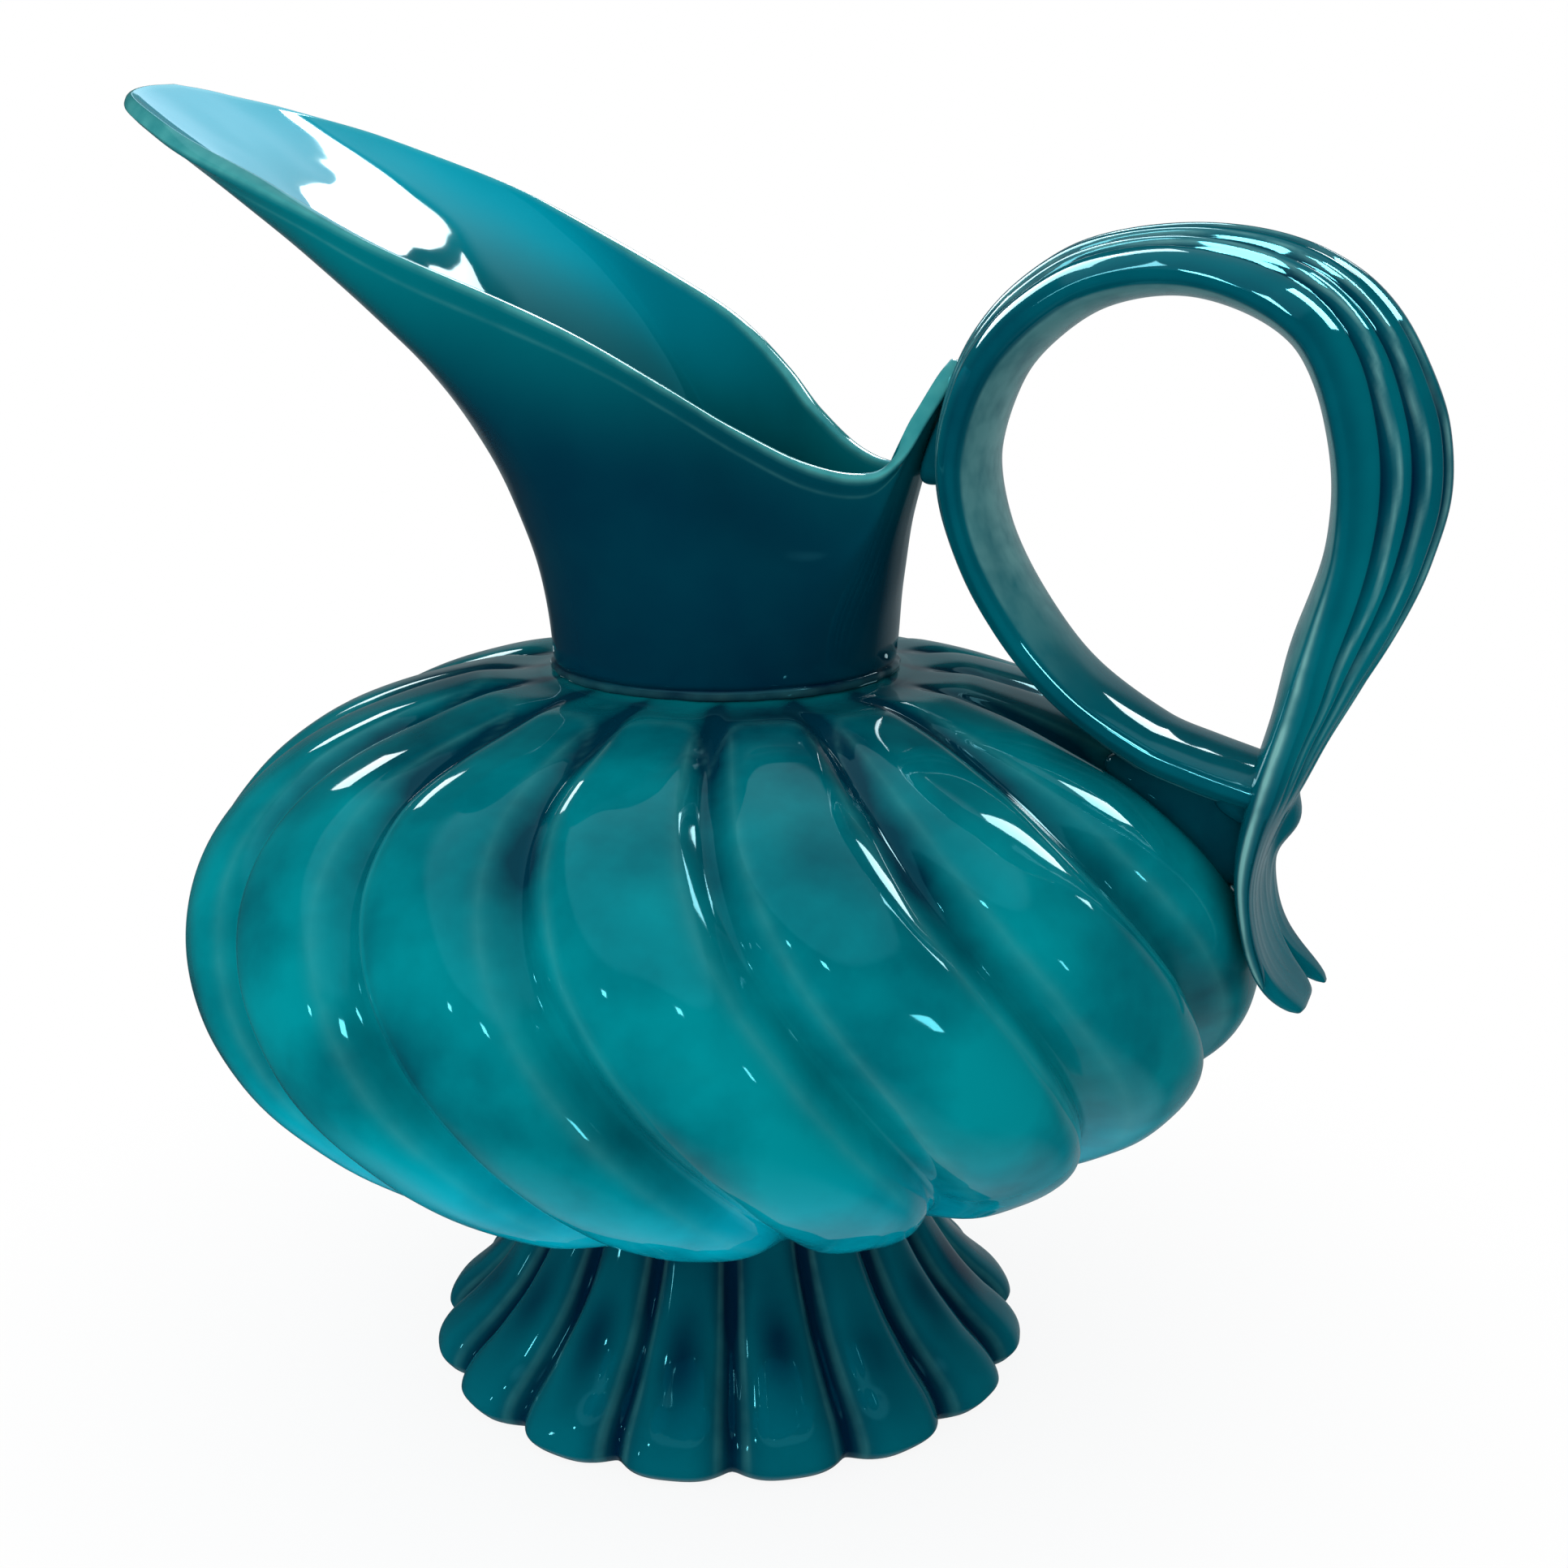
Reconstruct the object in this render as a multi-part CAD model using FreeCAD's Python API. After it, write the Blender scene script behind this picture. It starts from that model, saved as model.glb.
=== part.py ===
import FreeCAD, Part
import math
import os
from FreeCAD import Vector

os.makedirs("parts", exist_ok=True)

# Frame: millimetres, +Z up, the origin at the centre of the foot's ring on the table.
# The spout points along -X and the handle stands at +X. Azimuth 0 is -Y and grows towards +X.

# Flutes: the foot and the belly carry the same number of lobes.
lobe_count = 16
lobe_roundness = 3.2
lobe_columns = 13

# Slip: the liquid clay that glues the pieces, a thin layer at each joint.
slip_thickness = 1.2
slip_overhang = 0.8

# Foot: a hollow fluted bell, open below.
foot_height = 44.6
foot_rim_radius = 68.4
foot_lobe_depth = 5.0
foot_wall = 5.0
foot_rows = 26
foot_inner_rows = 14
# Height and crest radius up the bell.
foot_profile_shares = [
    (0.0, 0.972), (0.02, 0.99), (0.07, 1.0), (0.17, 0.968), (0.31, 0.872), (0.49, 0.766),
    (0.71, 0.672), (0.88, 0.612), (1.0, 0.59)]
# How deep the flutes are at those heights.
foot_depth_shares = [
    (0.0, 0.55), (0.07, 0.9), (0.2, 1.0), (0.6, 0.8), (0.86, 0.45), (1.0, 0.0)]

# Belly: a flattened round of crest radius belly_radius, pressed in two halves.
belly_radius = 117.7
belly_half_height = 61.8
belly_lobe_depth = 10.0
belly_wall = 5.0
belly_rows = 26
# Polar angles in degrees, seen from the centre of the belly, up each half.
belly_floor_angle = -68.5
belly_mouth_angle = 68.0
# Crest radius by polar angle: the lobes bow down to the seat of the neck.
belly_crest_shares = [
    (-68.5, 1.03), (-55.0, 1.025), (-35.0, 1.012), (0.0, 1.0), (38.0, 1.0), (50.0, 0.982),
    (58.0, 0.968), (64.0, 0.957), (68.0, 0.945)]
# Flute depth by polar angle: nothing at the floor and at the mouth.
belly_depth_shares = [
    (-68.5, 0.0), (-62.0, 0.45), (-50.0, 0.72), (-25.0, 0.94), (0.0, 1.0), (20.0, 0.88),
    (38.0, 0.68), (52.0, 0.46), (61.0, 0.32), (65.0, 0.2), (68.0, 0.0)]
# The flutes run straight over the shoulder and swing round on their way down.
flute_turn_degrees = 38.0
flute_lean_degrees = -3.0
flute_turn_top_angle = 50.0
flute_turn_bottom_angle = -75.0
mouth_radius = 31.0

# Handle: one strap, ribbed outside, that runs up from the shoulder, loops over, comes down
# outside its own start and ends in a free tail.
loop_width = 76.0
loop_height = 100.0
strap_width = 38.0
strap_edge = 6.0
strap_crown = 15.0
strap_inner_crown = 2.0
rib_depth = 1.1
strap_rows = 90
strap_columns = 60
strap_side_power = 0.8
strap_face_power = 0.7
# Middle line of the strap, across and up from the loop's centre, start to tail.
strap_line_shares = [
    (0.240, -0.506), (0.150, -0.484), (0.012, -0.445), (-0.190, -0.345), (-0.354, -0.206),
    (-0.470, -0.040), (-0.500, 0.129), (-0.407, 0.318), (-0.184, 0.452), (0.10, 0.475),
    (0.368, 0.380), (0.482, 0.190), (0.501, -0.029), (0.418, -0.271), (0.345, -0.481),
    (0.316, -0.660), (0.362, -0.790), (0.417, -0.875), (0.486, -0.935)]
# Width, edge thickness, outer crown, inner crown and rib strength along the strap.
strap_width_shares = [
    (0.0, 0.763), (0.2, 0.868), (0.4, 0.947), (0.55, 1.0), (0.7, 0.9), (0.8, 0.84), (0.87, 0.70),
    (0.93, 0.67), (0.97, 0.60), (0.99, 0.50), (1.0, 0.36)]
strap_edge_shares = [
    (0.0, 1.0), (0.68, 1.0), (0.76, 1.25), (0.83, 1.4), (0.9, 1.3), (0.96, 1.35), (1.0, 1.0)]
strap_crown_shares = [
    (0.0, 0.22), (0.2, 0.22), (0.3, 0.27), (0.4, 0.36), (0.47, 0.38), (0.55, 0.66), (0.64, 1.04),
    (0.72, 0.70), (0.8, 0.34), (0.84, 0.28), (0.89, 0.08), (0.94, 0.03), (1.0, 0.03)]
strap_inner_crown_shares = [(0.0, 1.0), (0.74, 1.0), (0.82, 0.0), (1.0, 0.0)]
rib_strength_shares = [(0.0, 0.5), (0.15, 1.0), (0.72, 1.0), (0.8, 0.5), (0.86, 0.0), (1.0, 0.0)]
rib_groove_shares = [0.15, 0.46, 0.76]
rib_groove_width_share = 0.07
# Notch that splits the tip of the tail.
tail_notch_length = 9.0
tail_notch_width = 5.0
# The loop stands on the tongue above and follows the belly below: from one of these heights
# to the other its line goes over from the one to the other.
follow_neck_share = 0.2
follow_belly_share = -0.4
# Where the strap's line passes the belly's widest place and where it lies on the shoulder.
tail_seat_share = 0.380
shoulder_seat_across_share = 0.012
shoulder_seat_up_share = -0.445
shoulder_clearance = 0.9
tail_clearance = 0.6

# Neck and spout: a round neck that opens into a long leaf-shaped lip.
neck_radius = 36.9
neck_wall = 4.5
lip_wall = 2.8
lip_roll = 1.2
neck_rows = 26
neck_columns = 96
spout_reach = 134.5
spout_half_width = 54.0
spout_rise = 118.0
neck_flare = 2.4
neck_rise_front = 50.0
neck_rise_back = 30.0
spout_sweep_front = 62.0
spout_sweep_side = 25.0
spout_sweep_back = 20.0
# Directions of the lip at the tip, the sides and the tongue, and how fast they give way.
sweep_front_shares = (-0.86, 0, 0.5)
sweep_side_shares = (-0.15, 0.25, 0.95)
sweep_back_shares = (0.42, 0, 0.9)
sweep_front_power = 1.2
sweep_back_power = 1.5
# Lip edge from the tip to the tongue at the back: angle round the neck in degrees, then
# reach towards the spout, reach towards the handle, half width, rise above the neck's foot.
lip_edge_shares = [
    (0, 1.0, 0.0, 0.0, 1.0), (5, 0.983, 0.0, 0.259, 0.990), (12, 0.926, 0.0, 0.537, 0.967),
    (22, 0.812, 0.0, 0.759, 0.926), (34, 0.677, 0.0, 0.907, 0.872),
    (47, 0.526, 0.0, 1.0, 0.809), (60, 0.376, 0.0, 0.991, 0.733),
    (73, 0.225, 0.0, 0.889, 0.657), (85, 0.119, 0.056, 0.778, 0.585),
    (98, 0.030, 0.115, 0.620, 0.500), (110, 0.0, 0.251, 0.463, 0.428),
    (124, 0.0, 0.490, 0.325, 0.365), (140, 0.0, 0.705, 0.225, 0.347),
    (152, 0.0, 0.822, 0.180, 0.384), (162, 0.0, 0.902, 0.137, 0.450),
    (171, 0.0, 0.970, 0.076, 0.506), (180, 0.0, 1.0, 0.0, 0.532)]

# Tongue: how far it leans out beyond the neck's foot, how far its tip stops short of the
# strap's line at its nearest run, and how high it ends, up from the loop's centre.
tongue_lean = 14.72
tongue_set_back = 2.8
tongue_top_share = 0.2877

# Luting clay between the handle and the pot: how wide each pad is, as a share of the strap.
neck_pad_width_share = 0.42
crossing_pad_width_share = 0.70
shoulder_pad_width_share = 0.60
# Where each pad begins and ends, up the neck's back and along the strap.
neck_pad_neck_shares = (0.62, 0.88)
neck_pad_strap_shares = (0.27, 0.33)
crossing_pad_start_share = 0.015
crossing_pad_tail_shares = (0.835, 0.865)
shoulder_pad_start_share = 0.09
shoulder_pad_tail_share = 0.90

# Derived places, from the table up.
squash_share = belly_half_height / belly_radius
belly_floor = foot_height + slip_thickness
floor_drop_share = belly_crest_shares[0][1] * math.sin(math.radians(-belly_floor_angle))
lower_centre = belly_floor + belly_half_height * floor_drop_share
upper_centre = lower_centre + slip_thickness
mouth_rise_share = belly_crest_shares[-1][1] * math.sin(math.radians(belly_mouth_angle))
belly_top = upper_centre + belly_half_height * mouth_rise_share
neck_foot = belly_top + slip_thickness
foot_top_radius = foot_rim_radius * foot_profile_shares[-1][1]
foot_hole_radius = foot_top_radius - foot_wall

# The handle's place: the loop's near run stands behind the tongue, its tail passes the
# belly's widest place and its start lies on the shoulder, each a clearance away.
tongue_reach = neck_radius + tongue_lean
loop_centre_reach = tongue_reach + tongue_set_back + loop_width / 2
tail_reach = belly_radius + tail_clearance + strap_edge / 2
belly_shift = tail_reach - tail_seat_share * loop_width - loop_centre_reach
shoulder_seat_reach = (loop_centre_reach + belly_shift
                       + shoulder_seat_across_share * loop_width)
shoulder_height = belly_half_height * math.sqrt(1 - (shoulder_seat_reach / belly_radius) ** 2)
start_crown = strap_crown * strap_crown_shares[0][1]
loop_centre_height = (upper_centre + shoulder_height + strap_edge / 2 + start_crown
                      + shoulder_clearance - shoulder_seat_up_share * loop_height)
tongue_top = loop_centre_height + tongue_top_share * loop_height
tongue_lift = tongue_top - neck_foot - lip_edge_shares[-1][4] * spout_rise


def along(table, place):
    """Smooth curve through a table of (place, value, ...): a cubic between each two rows,
    whose slope at a row is that of the line through its neighbours."""
    rows = [tuple(map(float, row)) for row in table]
    last = len(rows) - 1
    place = min(max(place, rows[0][0]), rows[last][0])
    i = max(k for k in range(last) if rows[k][0] <= place)
    a, b = rows[i], rows[i + 1]
    before, after = rows[max(i - 1, 0)], rows[min(i + 2, last)]
    span = b[0] - a[0]
    t = (place - a[0]) / span
    values = []
    for column in range(1, len(a)):
        slope_a = (b[column] - before[column]) / (b[0] - before[0]) * span
        slope_b = (after[column] - a[column]) / (after[0] - a[0]) * span
        values.append((2 * t**3 - 3 * t**2 + 1) * a[column] + (t**3 - 2 * t**2 + t) * slope_a
                      + (3 * t**2 - 2 * t**3) * b[column] + (t**3 - t**2) * slope_b)
    return values[0] if len(values) == 1 else values


def by_length(shares, width, height):
    """Table of a line's points by their share of its length, for along()."""
    lengths = [0.0]
    for before, after in zip(shares, shares[1:]):
        lengths.append(lengths[-1] + math.hypot((after[0] - before[0]) * width,
                                                (after[1] - before[1]) * height))
    return [(length / lengths[-1],) + point for length, point in zip(lengths, shares)]


def spread(first, last, count):
    """Evenly spaced numbers from first to last."""
    return [first + (last - first) * k / (count - 1) for k in range(count)]


def around(radius, azimuth, height):
    """Point at a radius and an azimuth in degrees, measured from -Y towards +X."""
    turn = math.radians(azimuth)
    return Vector(radius * math.sin(turn), -radius * math.cos(turn), height)


def clamped_knots(count):
    """Knots and multiplicities of an open cubic through its end rows."""
    spans = count - 3
    return [float(k) for k in range(spans + 1)], [4] + [1] * (spans - 1) + [4]


def sheet(rows, closed=False):
    """Cubic face over a grid of poles. A closed sheet joins its last column to its first."""
    knots, mults = clamped_knots(len(rows))
    surface = Part.BSplineSurface()
    if closed:
        count = len(rows[0])
        around_knots = [float(k) for k in range(count + 1)]
        surface.buildFromPolesMultsKnots(rows, mults, [1] * (count + 1), knots, around_knots,
                                         False, True, 3, 3)
    else:
        across_knots, across_mults = clamped_knots(len(rows[0]))
        surface.buildFromPolesMultsKnots(rows, mults, across_mults, knots, across_knots,
                                         False, False, 3, 3)
    return surface.toShape()


def edge_through(poles):
    """Cubic edge with the same poles as one side of an open sheet."""
    knots, mults = clamped_knots(len(poles))
    curve = Part.BSplineCurve()
    curve.buildFromPolesMultsKnots(poles, mults, knots, False, 3)
    return curve.toShape()


def ring_edge(poles):
    """Closed cubic edge with the same poles as one side of a closed sheet."""
    count = len(poles)
    curve = Part.BSplineCurve()
    curve.buildFromPolesMultsKnots(poles, [1] * (count + 1), [float(k) for k in range(count + 1)],
                                   True, 3)
    return curve.toShape()


def flat_face(wires):
    """Flat face inside the first wire, with the others as holes."""
    return Part.makeFace(wires, "Part::FaceMakerBullseye")


def circle_wire(radius, height):
    """Level circle round the axis."""
    return Part.Wire([Part.makeCircle(radius, Vector(0, 0, height))])


def closed_solid(faces):
    """Solid from faces that meet along their edges."""
    skin = Part.makeCompound(faces)
    skin.sewShape()
    solid = Part.Solid(skin.Shells[0])
    if solid.Volume < 0:
        solid.reverse()
    return solid


def lathe_face(points):
    """Surface of revolution of a smooth curve through (radius, height) points."""
    curve = Part.BSplineCurve()
    curve.interpolate([Vector(radius, 0, height) for radius, height in points])
    return curve.toShape().revolve(Vector(0, 0, 0), Vector(0, 0, 1), 360)


def lathe_solid(points):
    """Solid of revolution inside straight lines between (radius, height) points."""
    wire = Part.makePolygon([Vector(radius, 0, height) for radius, height in points + points[:1]])
    return Part.Face(wire).revolve(Vector(0, 0, 0), Vector(0, 0, 1), 360)


def lobe_height(across):
    """0 in the groove on either side of a lobe and 1 on its crest."""
    return 1 - abs(2 * across - 1) ** lobe_roundness


def lobed_faces(point_at, stations):
    """The faces of all lobes, one made from point_at(station, across) and turned round the
    axis, with the wires of the lower and the upper rim."""
    pitch = 360 / lobe_count
    across_values = spread(0, 1, lobe_columns)
    grid = [[point_at(station, across) for across in across_values] for station in stations]
    faces, low, high = [], [], []
    for k in range(lobe_count):
        turn = FreeCAD.Rotation(Vector(0, 0, 1), pitch * k)
        rows = [[turn.multVec(point) for point in row] for row in grid]
        faces.append(sheet(rows))
        low.append(edge_through(rows[0]))
        high.append(edge_through(rows[-1]))
    return faces, Part.Wire(low), Part.Wire(high)


def foot_point(station, across):
    """Outer surface of the foot: crest radius less the flute, at a share of the height."""
    crest = foot_rim_radius * along(foot_profile_shares, station)
    depth = foot_lobe_depth * along(foot_depth_shares, station)
    radius = crest - depth * (1 - lobe_height(across))
    return around(radius, across * 360 / lobe_count, station * foot_height)


def make_foot():
    """Fluted bell, hollow below: lobed skin, bell-shaped inside, flat ring at both ends."""
    faces, low, high = lobed_faces(foot_point, spread(0, 1, foot_rows))
    inside = []
    for station in spread(0, 1, foot_inner_rows):
        crest = foot_rim_radius * along(foot_profile_shares, station)
        depth = foot_lobe_depth * along(foot_depth_shares, station)
        inside.append((crest - depth - foot_wall, station * foot_height))
    faces.append(lathe_face(inside))
    faces.append(flat_face([low, circle_wire(inside[0][0], 0)]))
    faces.append(flat_face([high, circle_wire(foot_hole_radius, foot_height)]))
    return closed_solid(faces)


def flute_turn(angle):
    """Azimuth of a flute at a polar angle: a smooth step from the shoulder down."""
    t = (flute_turn_top_angle - angle) / (flute_turn_top_angle - flute_turn_bottom_angle)
    t = min(max(t, 0), 1)
    return flute_turn_degrees * t * t * (3 - 2 * t) + flute_lean_degrees


def belly_point(angle, across, centre, inset):
    """Surface of the belly at a polar angle, squashed in height, a wall's inset inside."""
    crest = belly_radius * along(belly_crest_shares, angle)
    depth = belly_lobe_depth * along(belly_depth_shares, angle)
    reach = crest - depth * (1 - lobe_height(across))
    radius = (reach - inset) * math.cos(math.radians(angle))
    height = centre + (reach * squash_share - inset) * math.sin(math.radians(angle))
    return around(radius, across * 360 / lobe_count + flute_turn(angle), height)


def belly_skin(first, last, centre, inset):
    """Lobed faces of one half of the belly with their lower and upper rims."""
    def point_at(angle, across):
        return belly_point(angle, across, centre, inset)

    return lobed_faces(point_at, spread(first, last, belly_rows))


def make_belly_lower():
    """Lower bowl: swinging lobes, the wall following them inside, a flat floor."""
    outer, low, high = belly_skin(belly_floor_angle, 0, lower_centre, 0)
    inner, inner_low, inner_high = belly_skin(belly_floor_angle, 0, lower_centre, belly_wall)
    return closed_solid(outer + inner + [flat_face([low]), flat_face([inner_low]),
                                         flat_face([high, inner_high])])


def make_belly_seam():
    """Layer of slip between the halves, as wide as the wall."""
    outer, low, high = belly_skin(belly_floor_angle, 0, lower_centre, 0)
    inner, inner_low, inner_high = belly_skin(belly_floor_angle, 0, lower_centre, belly_wall)
    return flat_face([high, inner_high]).extrude(Vector(0, 0, slip_thickness))


def make_belly_upper():
    """Shoulder: straight lobes, the wall following them, and the round mouth below the neck."""
    outer, low, high = belly_skin(0, belly_mouth_angle, upper_centre, 0)
    inner, inner_low, inner_high = belly_skin(0, belly_mouth_angle, upper_centre, belly_wall)
    ceiling = inner_high.BoundBox.ZMin
    bore = Part.makeCylinder(mouth_radius, belly_top - ceiling, Vector(0, 0, ceiling))
    return closed_solid(outer + inner + [
        flat_face([low, inner_low]), flat_face([high, circle_wire(mouth_radius, belly_top)]),
        flat_face([inner_high, circle_wire(mouth_radius, ceiling)]), bore.Faces[0]])


def slip_ring(radius, hole, bottom):
    """Thin ring of slip, squeezed out a little round its outer edge."""
    top = bottom + slip_thickness
    middle = (bottom + top) / 2
    return lathe_solid([(hole, bottom), (radius, bottom), (radius + slip_overhang, middle),
                        (radius, top), (hole, top)])


def lip_edge(turn):
    """Point of the lip's outer edge, for a turn in degrees round the neck from the tip."""
    front, back, width, rise = along(lip_edge_shares, abs(turn))
    side = -1 if turn > 0 else 1
    return Vector(back * tongue_reach - front * spout_reach, side * width * spout_half_width,
                  neck_foot + rise * spout_rise + back**2 * tongue_lift)


def neck_point(share, turn):
    """Outer surface of the neck and spout: a cubic from the round foot to the lip edge.
    It leaves the foot upwards and meets the lip along the direction of the sweep."""
    swing = math.radians(turn)
    outward = Vector(-math.cos(swing), -math.sin(swing), 0)
    front_share = (1 + math.cos(swing)) / 2
    start = outward * neck_radius + Vector(0, 0, neck_foot)
    rise = neck_rise_back + (neck_rise_front - neck_rise_back) * front_share
    first = start + outward * neck_flare + Vector(0, 0, rise)
    front = max(math.cos(swing), 0) ** sweep_front_power
    back = max(-math.cos(swing), 0) ** sweep_back_power
    side = max(1 - front - back, 0)
    sway = Vector(*sweep_side_shares)
    sway.y = -sway.y if turn > 0 else sway.y
    sweep = Vector(*sweep_front_shares) * front + sway * side + Vector(*sweep_back_shares) * back
    sweep.normalize()
    length = spout_sweep_front * front + spout_sweep_side * side + spout_sweep_back * back
    end = lip_edge(turn)
    second = end - sweep * length
    rest = 1 - share
    return (start * rest**3 + first * (3 * rest**2 * share) + second * (3 * rest * share**2)
            + end * share**3)


def make_neck():
    """Neck and spout: the outer sheet, the inner one a wall inside it, and a rolled lip."""
    shares = spread(0, 1, neck_rows)
    turns = [360 * k / neck_columns - 180 for k in range(neck_columns)]
    outer = [[neck_point(share, turn) for turn in turns] for share in shares]
    small_share, small_turn = 0.01, 1
    inner = []
    for share in shares:
        row = []
        wall = neck_wall + (lip_wall - neck_wall) * share
        for turn in turns:
            low, high = max(share - small_share, 0), min(share + small_share, 1)
            up = neck_point(high, turn) - neck_point(low, turn)
            left = neck_point(share, turn + small_turn) - neck_point(share, turn - small_turn)
            inward = up.cross(left)
            inward.normalize()
            row.append(neck_point(share, turn) + inward * wall)
        inner.append(row)
    for point in inner[0]:
        point.z = neck_foot
    lip_outer, lip_inner = [], []
    for k in range(neck_columns):
        up = outer[-1][k] - outer[-2][k]
        up.normalize()
        lip_outer.append(outer[-1][k] + up * lip_roll)
        lip_inner.append(inner[-1][k] + up * lip_roll)
    faces = [sheet(outer, True), sheet(inner, True),
             sheet([outer[-1], lip_outer, lip_inner, inner[-1]], True),
             flat_face([Part.Wire([ring_edge(outer[0])]), Part.Wire([ring_edge(inner[0])])])]
    return closed_solid(faces)


strap_line = by_length(strap_line_shares, loop_width, loop_height)


def strap_frame(place):
    """Middle point of the strap at a share of its length, and its outward direction."""
    small_share = 0.002

    def middle(at):
        across, up = along(strap_line, at)
        t = (follow_neck_share - up) / (follow_neck_share - follow_belly_share)
        t = min(max(t, 0), 1)
        shift = belly_shift * t * t * (3 - 2 * t)
        return Vector(loop_centre_reach + across * loop_width + shift, 0,
                      loop_centre_height + up * loop_height)

    ahead = middle(min(place + small_share, 1)) - middle(max(place - small_share, 0))
    outward = Vector(-ahead.z, 0, ahead.x)
    outward.normalize()
    return middle(place), outward


def strap_section(place):
    """Section of the strap: rounded edges, a low crown inside, ribs on the outer crown."""
    centre, outward = strap_frame(place)
    width = strap_width * along(strap_width_shares, place)
    edge = strap_edge * along(strap_edge_shares, place)
    crown = strap_crown * along(strap_crown_shares, place)
    inner_crown = strap_inner_crown * along(strap_inner_crown_shares, place)
    ribs = rib_depth * along(rib_strength_shares, place)
    points = []
    for k in range(strap_columns):
        turn = 2 * math.pi * k / strap_columns
        cosine, sine = math.cos(turn), math.sin(turn)
        share = math.copysign(abs(cosine) ** strap_side_power, cosine)
        bulge = abs(sine) ** strap_face_power
        if sine > 0:
            groove = sum(math.exp(-((abs(share) - at) / rib_groove_width_share) ** 2)
                         for at in rib_groove_shares)
            lift = bulge * (edge / 2 + crown * (1 - share**2)) - ribs * groove
        else:
            lift = -bulge * (edge / 2 + inner_crown * (1 - share**2))
        points.append(centre + outward * lift + Vector(0, share * width / 2, 0))
    return points


def across_blank(points, width):
    """Block between straight lines in the middle plane, as wide as width."""
    wire = Part.makePolygon(points + points[:1])
    blank = Part.Face(wire).extrude(Vector(0, width, 0))
    blank.translate(Vector(0, -width / 2, 0))
    return blank


def make_handle():
    """Strap swept along its line, closed by flat ends, the tip of its tail notched."""
    rows = [strap_section(place) for place in spread(0, 1, strap_rows)]
    faces = [sheet(rows, True), flat_face([Part.Wire([ring_edge(rows[0])])]),
             flat_face([Part.Wire([ring_edge(rows[-1])])])]
    strap = closed_solid(faces)
    tip, outward = strap_frame(1)
    along_tail = Vector(outward.z, 0, -outward.x)
    half = Vector(0, tail_notch_width / 2, 0)
    beyond = along_tail * strap_edge
    below = outward * -strap_edge
    corners = [tip + beyond + half, tip + beyond - half, tip - half, tip + half]
    apex = tip - along_tail * tail_notch_length
    outline = [corners[0] + below, corners[1] + below, corners[2] + below, apex + below,
               corners[3] + below]
    notch = Part.Face(Part.makePolygon(outline + outline[:1])).extrude(outward * (2 * strap_edge))
    return strap.cut(notch).Solids[0]


def clay_pad(points, width_share, pieces):
    """Luting clay that fills what the pieces leave free of a block between them."""
    blank = across_blank(points, strap_width * width_share)
    rest = blank.cut(Part.makeCompound(pieces))
    return max(rest.Solids, key=lambda solid: solid.Volume)


def strap_point(place, lift):
    """Point of the strap's middle plane, lifted from its line along its outward direction."""
    centre, outward = strap_frame(place)
    return centre + outward * lift


def make_neck_pad(neck, handle):
    """Clay between the tongue's back and the strap where it passes it."""
    inside_wall = Vector(-lip_wall / 2, 0, 0)
    low, high = neck_pad_neck_shares
    strap_low, strap_high = neck_pad_strap_shares
    points = [neck_point(low, 180) + inside_wall, neck_point(high, 180) + inside_wall,
              strap_point(strap_high, 0), strap_point(strap_low, 0)]
    return clay_pad(points, neck_pad_width_share, [neck, handle])


def crossing_corners():
    """Corners of the crossing between the strap's start and its own way down."""
    upper, lower = crossing_pad_tail_shares
    start = crossing_pad_start_share
    return [strap_point(start, -strap_edge / 2), strap_point(upper, 0), strap_point(lower, 0),
            strap_point(start, strap_edge / 2)]


def make_crossing_pad(handle):
    """Clay between the strap's start and the strap that comes down outside it."""
    return clay_pad(crossing_corners(), crossing_pad_width_share, [handle])


def shoulder_point(reach):
    """Point inside the belly's wall below its crest line, at a reach from the axis."""
    rise = belly_half_height * math.sqrt(1 - (reach / belly_radius) ** 2)
    return Vector(reach, 0, upper_centre + rise - belly_wall / 2)


def make_shoulder_pad(belly_upper, handle):
    """Clay that beds the strap's start on the shoulder and its tail against the belly."""
    first, last = strap_point(shoulder_pad_start_share, 0), strap_point(shoulder_pad_tail_share, 0)
    upper_start, upper_tail, lower_tail, lower_start = crossing_corners()
    points = [first, strap_point(crossing_pad_start_share, 0), lower_start, lower_tail, last,
              shoulder_point(last.x - strap_edge), shoulder_point(first.x)]
    return clay_pad(points, shoulder_pad_width_share, [belly_upper, handle])


def save(name, shape):
    """Write one piece and say what it is."""
    shape.exportStep("parts/" + name + ".step")
    box = shape.BoundBox
    print(name, "valid", shape.isValid(), "volume", round(shape.Volume), "solids",
          len(shape.Solids), "z", round(box.ZMin, 2), round(box.ZMax, 2),
          "x", round(box.XMin, 1), round(box.XMax, 1))


foot = make_foot()
belly_lower = make_belly_lower()
belly_upper = make_belly_upper()
neck = make_neck()
handle = make_handle()
save("pedestal_foot", foot)
save("foot_slip_ring", slip_ring(foot_top_radius, foot_hole_radius, foot_height))
save("belly_lower_half", belly_lower)
save("belly_seam_slip", make_belly_seam())
save("belly_upper_half", belly_upper)
save("neck_slip_ring", slip_ring(neck_radius, mouth_radius, belly_top))
save("neck_with_spout", neck)
save("handle_strap", handle)
save("handle_slip_neck", make_neck_pad(neck, handle))
save("handle_slip_crossing", make_crossing_pad(handle))
save("handle_slip_shoulder", make_shoulder_pad(belly_upper, handle))
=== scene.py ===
# %% [markdown]
# # A glazed pottery ewer
# The pot is a footed ewer in turquoise glaze: a fluted bell-shaped foot, a flattened fluted
# belly, a neck that opens into a long leaf-shaped spout, and one ribbed strap for a handle.
# This lesson models it around its CAD frame. Each step says what the piece is on the real
# pot, how it could be made, and why it is made this way.

# %% The frame
import math

import bpy
import numpy as np
from mathutils import Matrix, Vector


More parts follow.
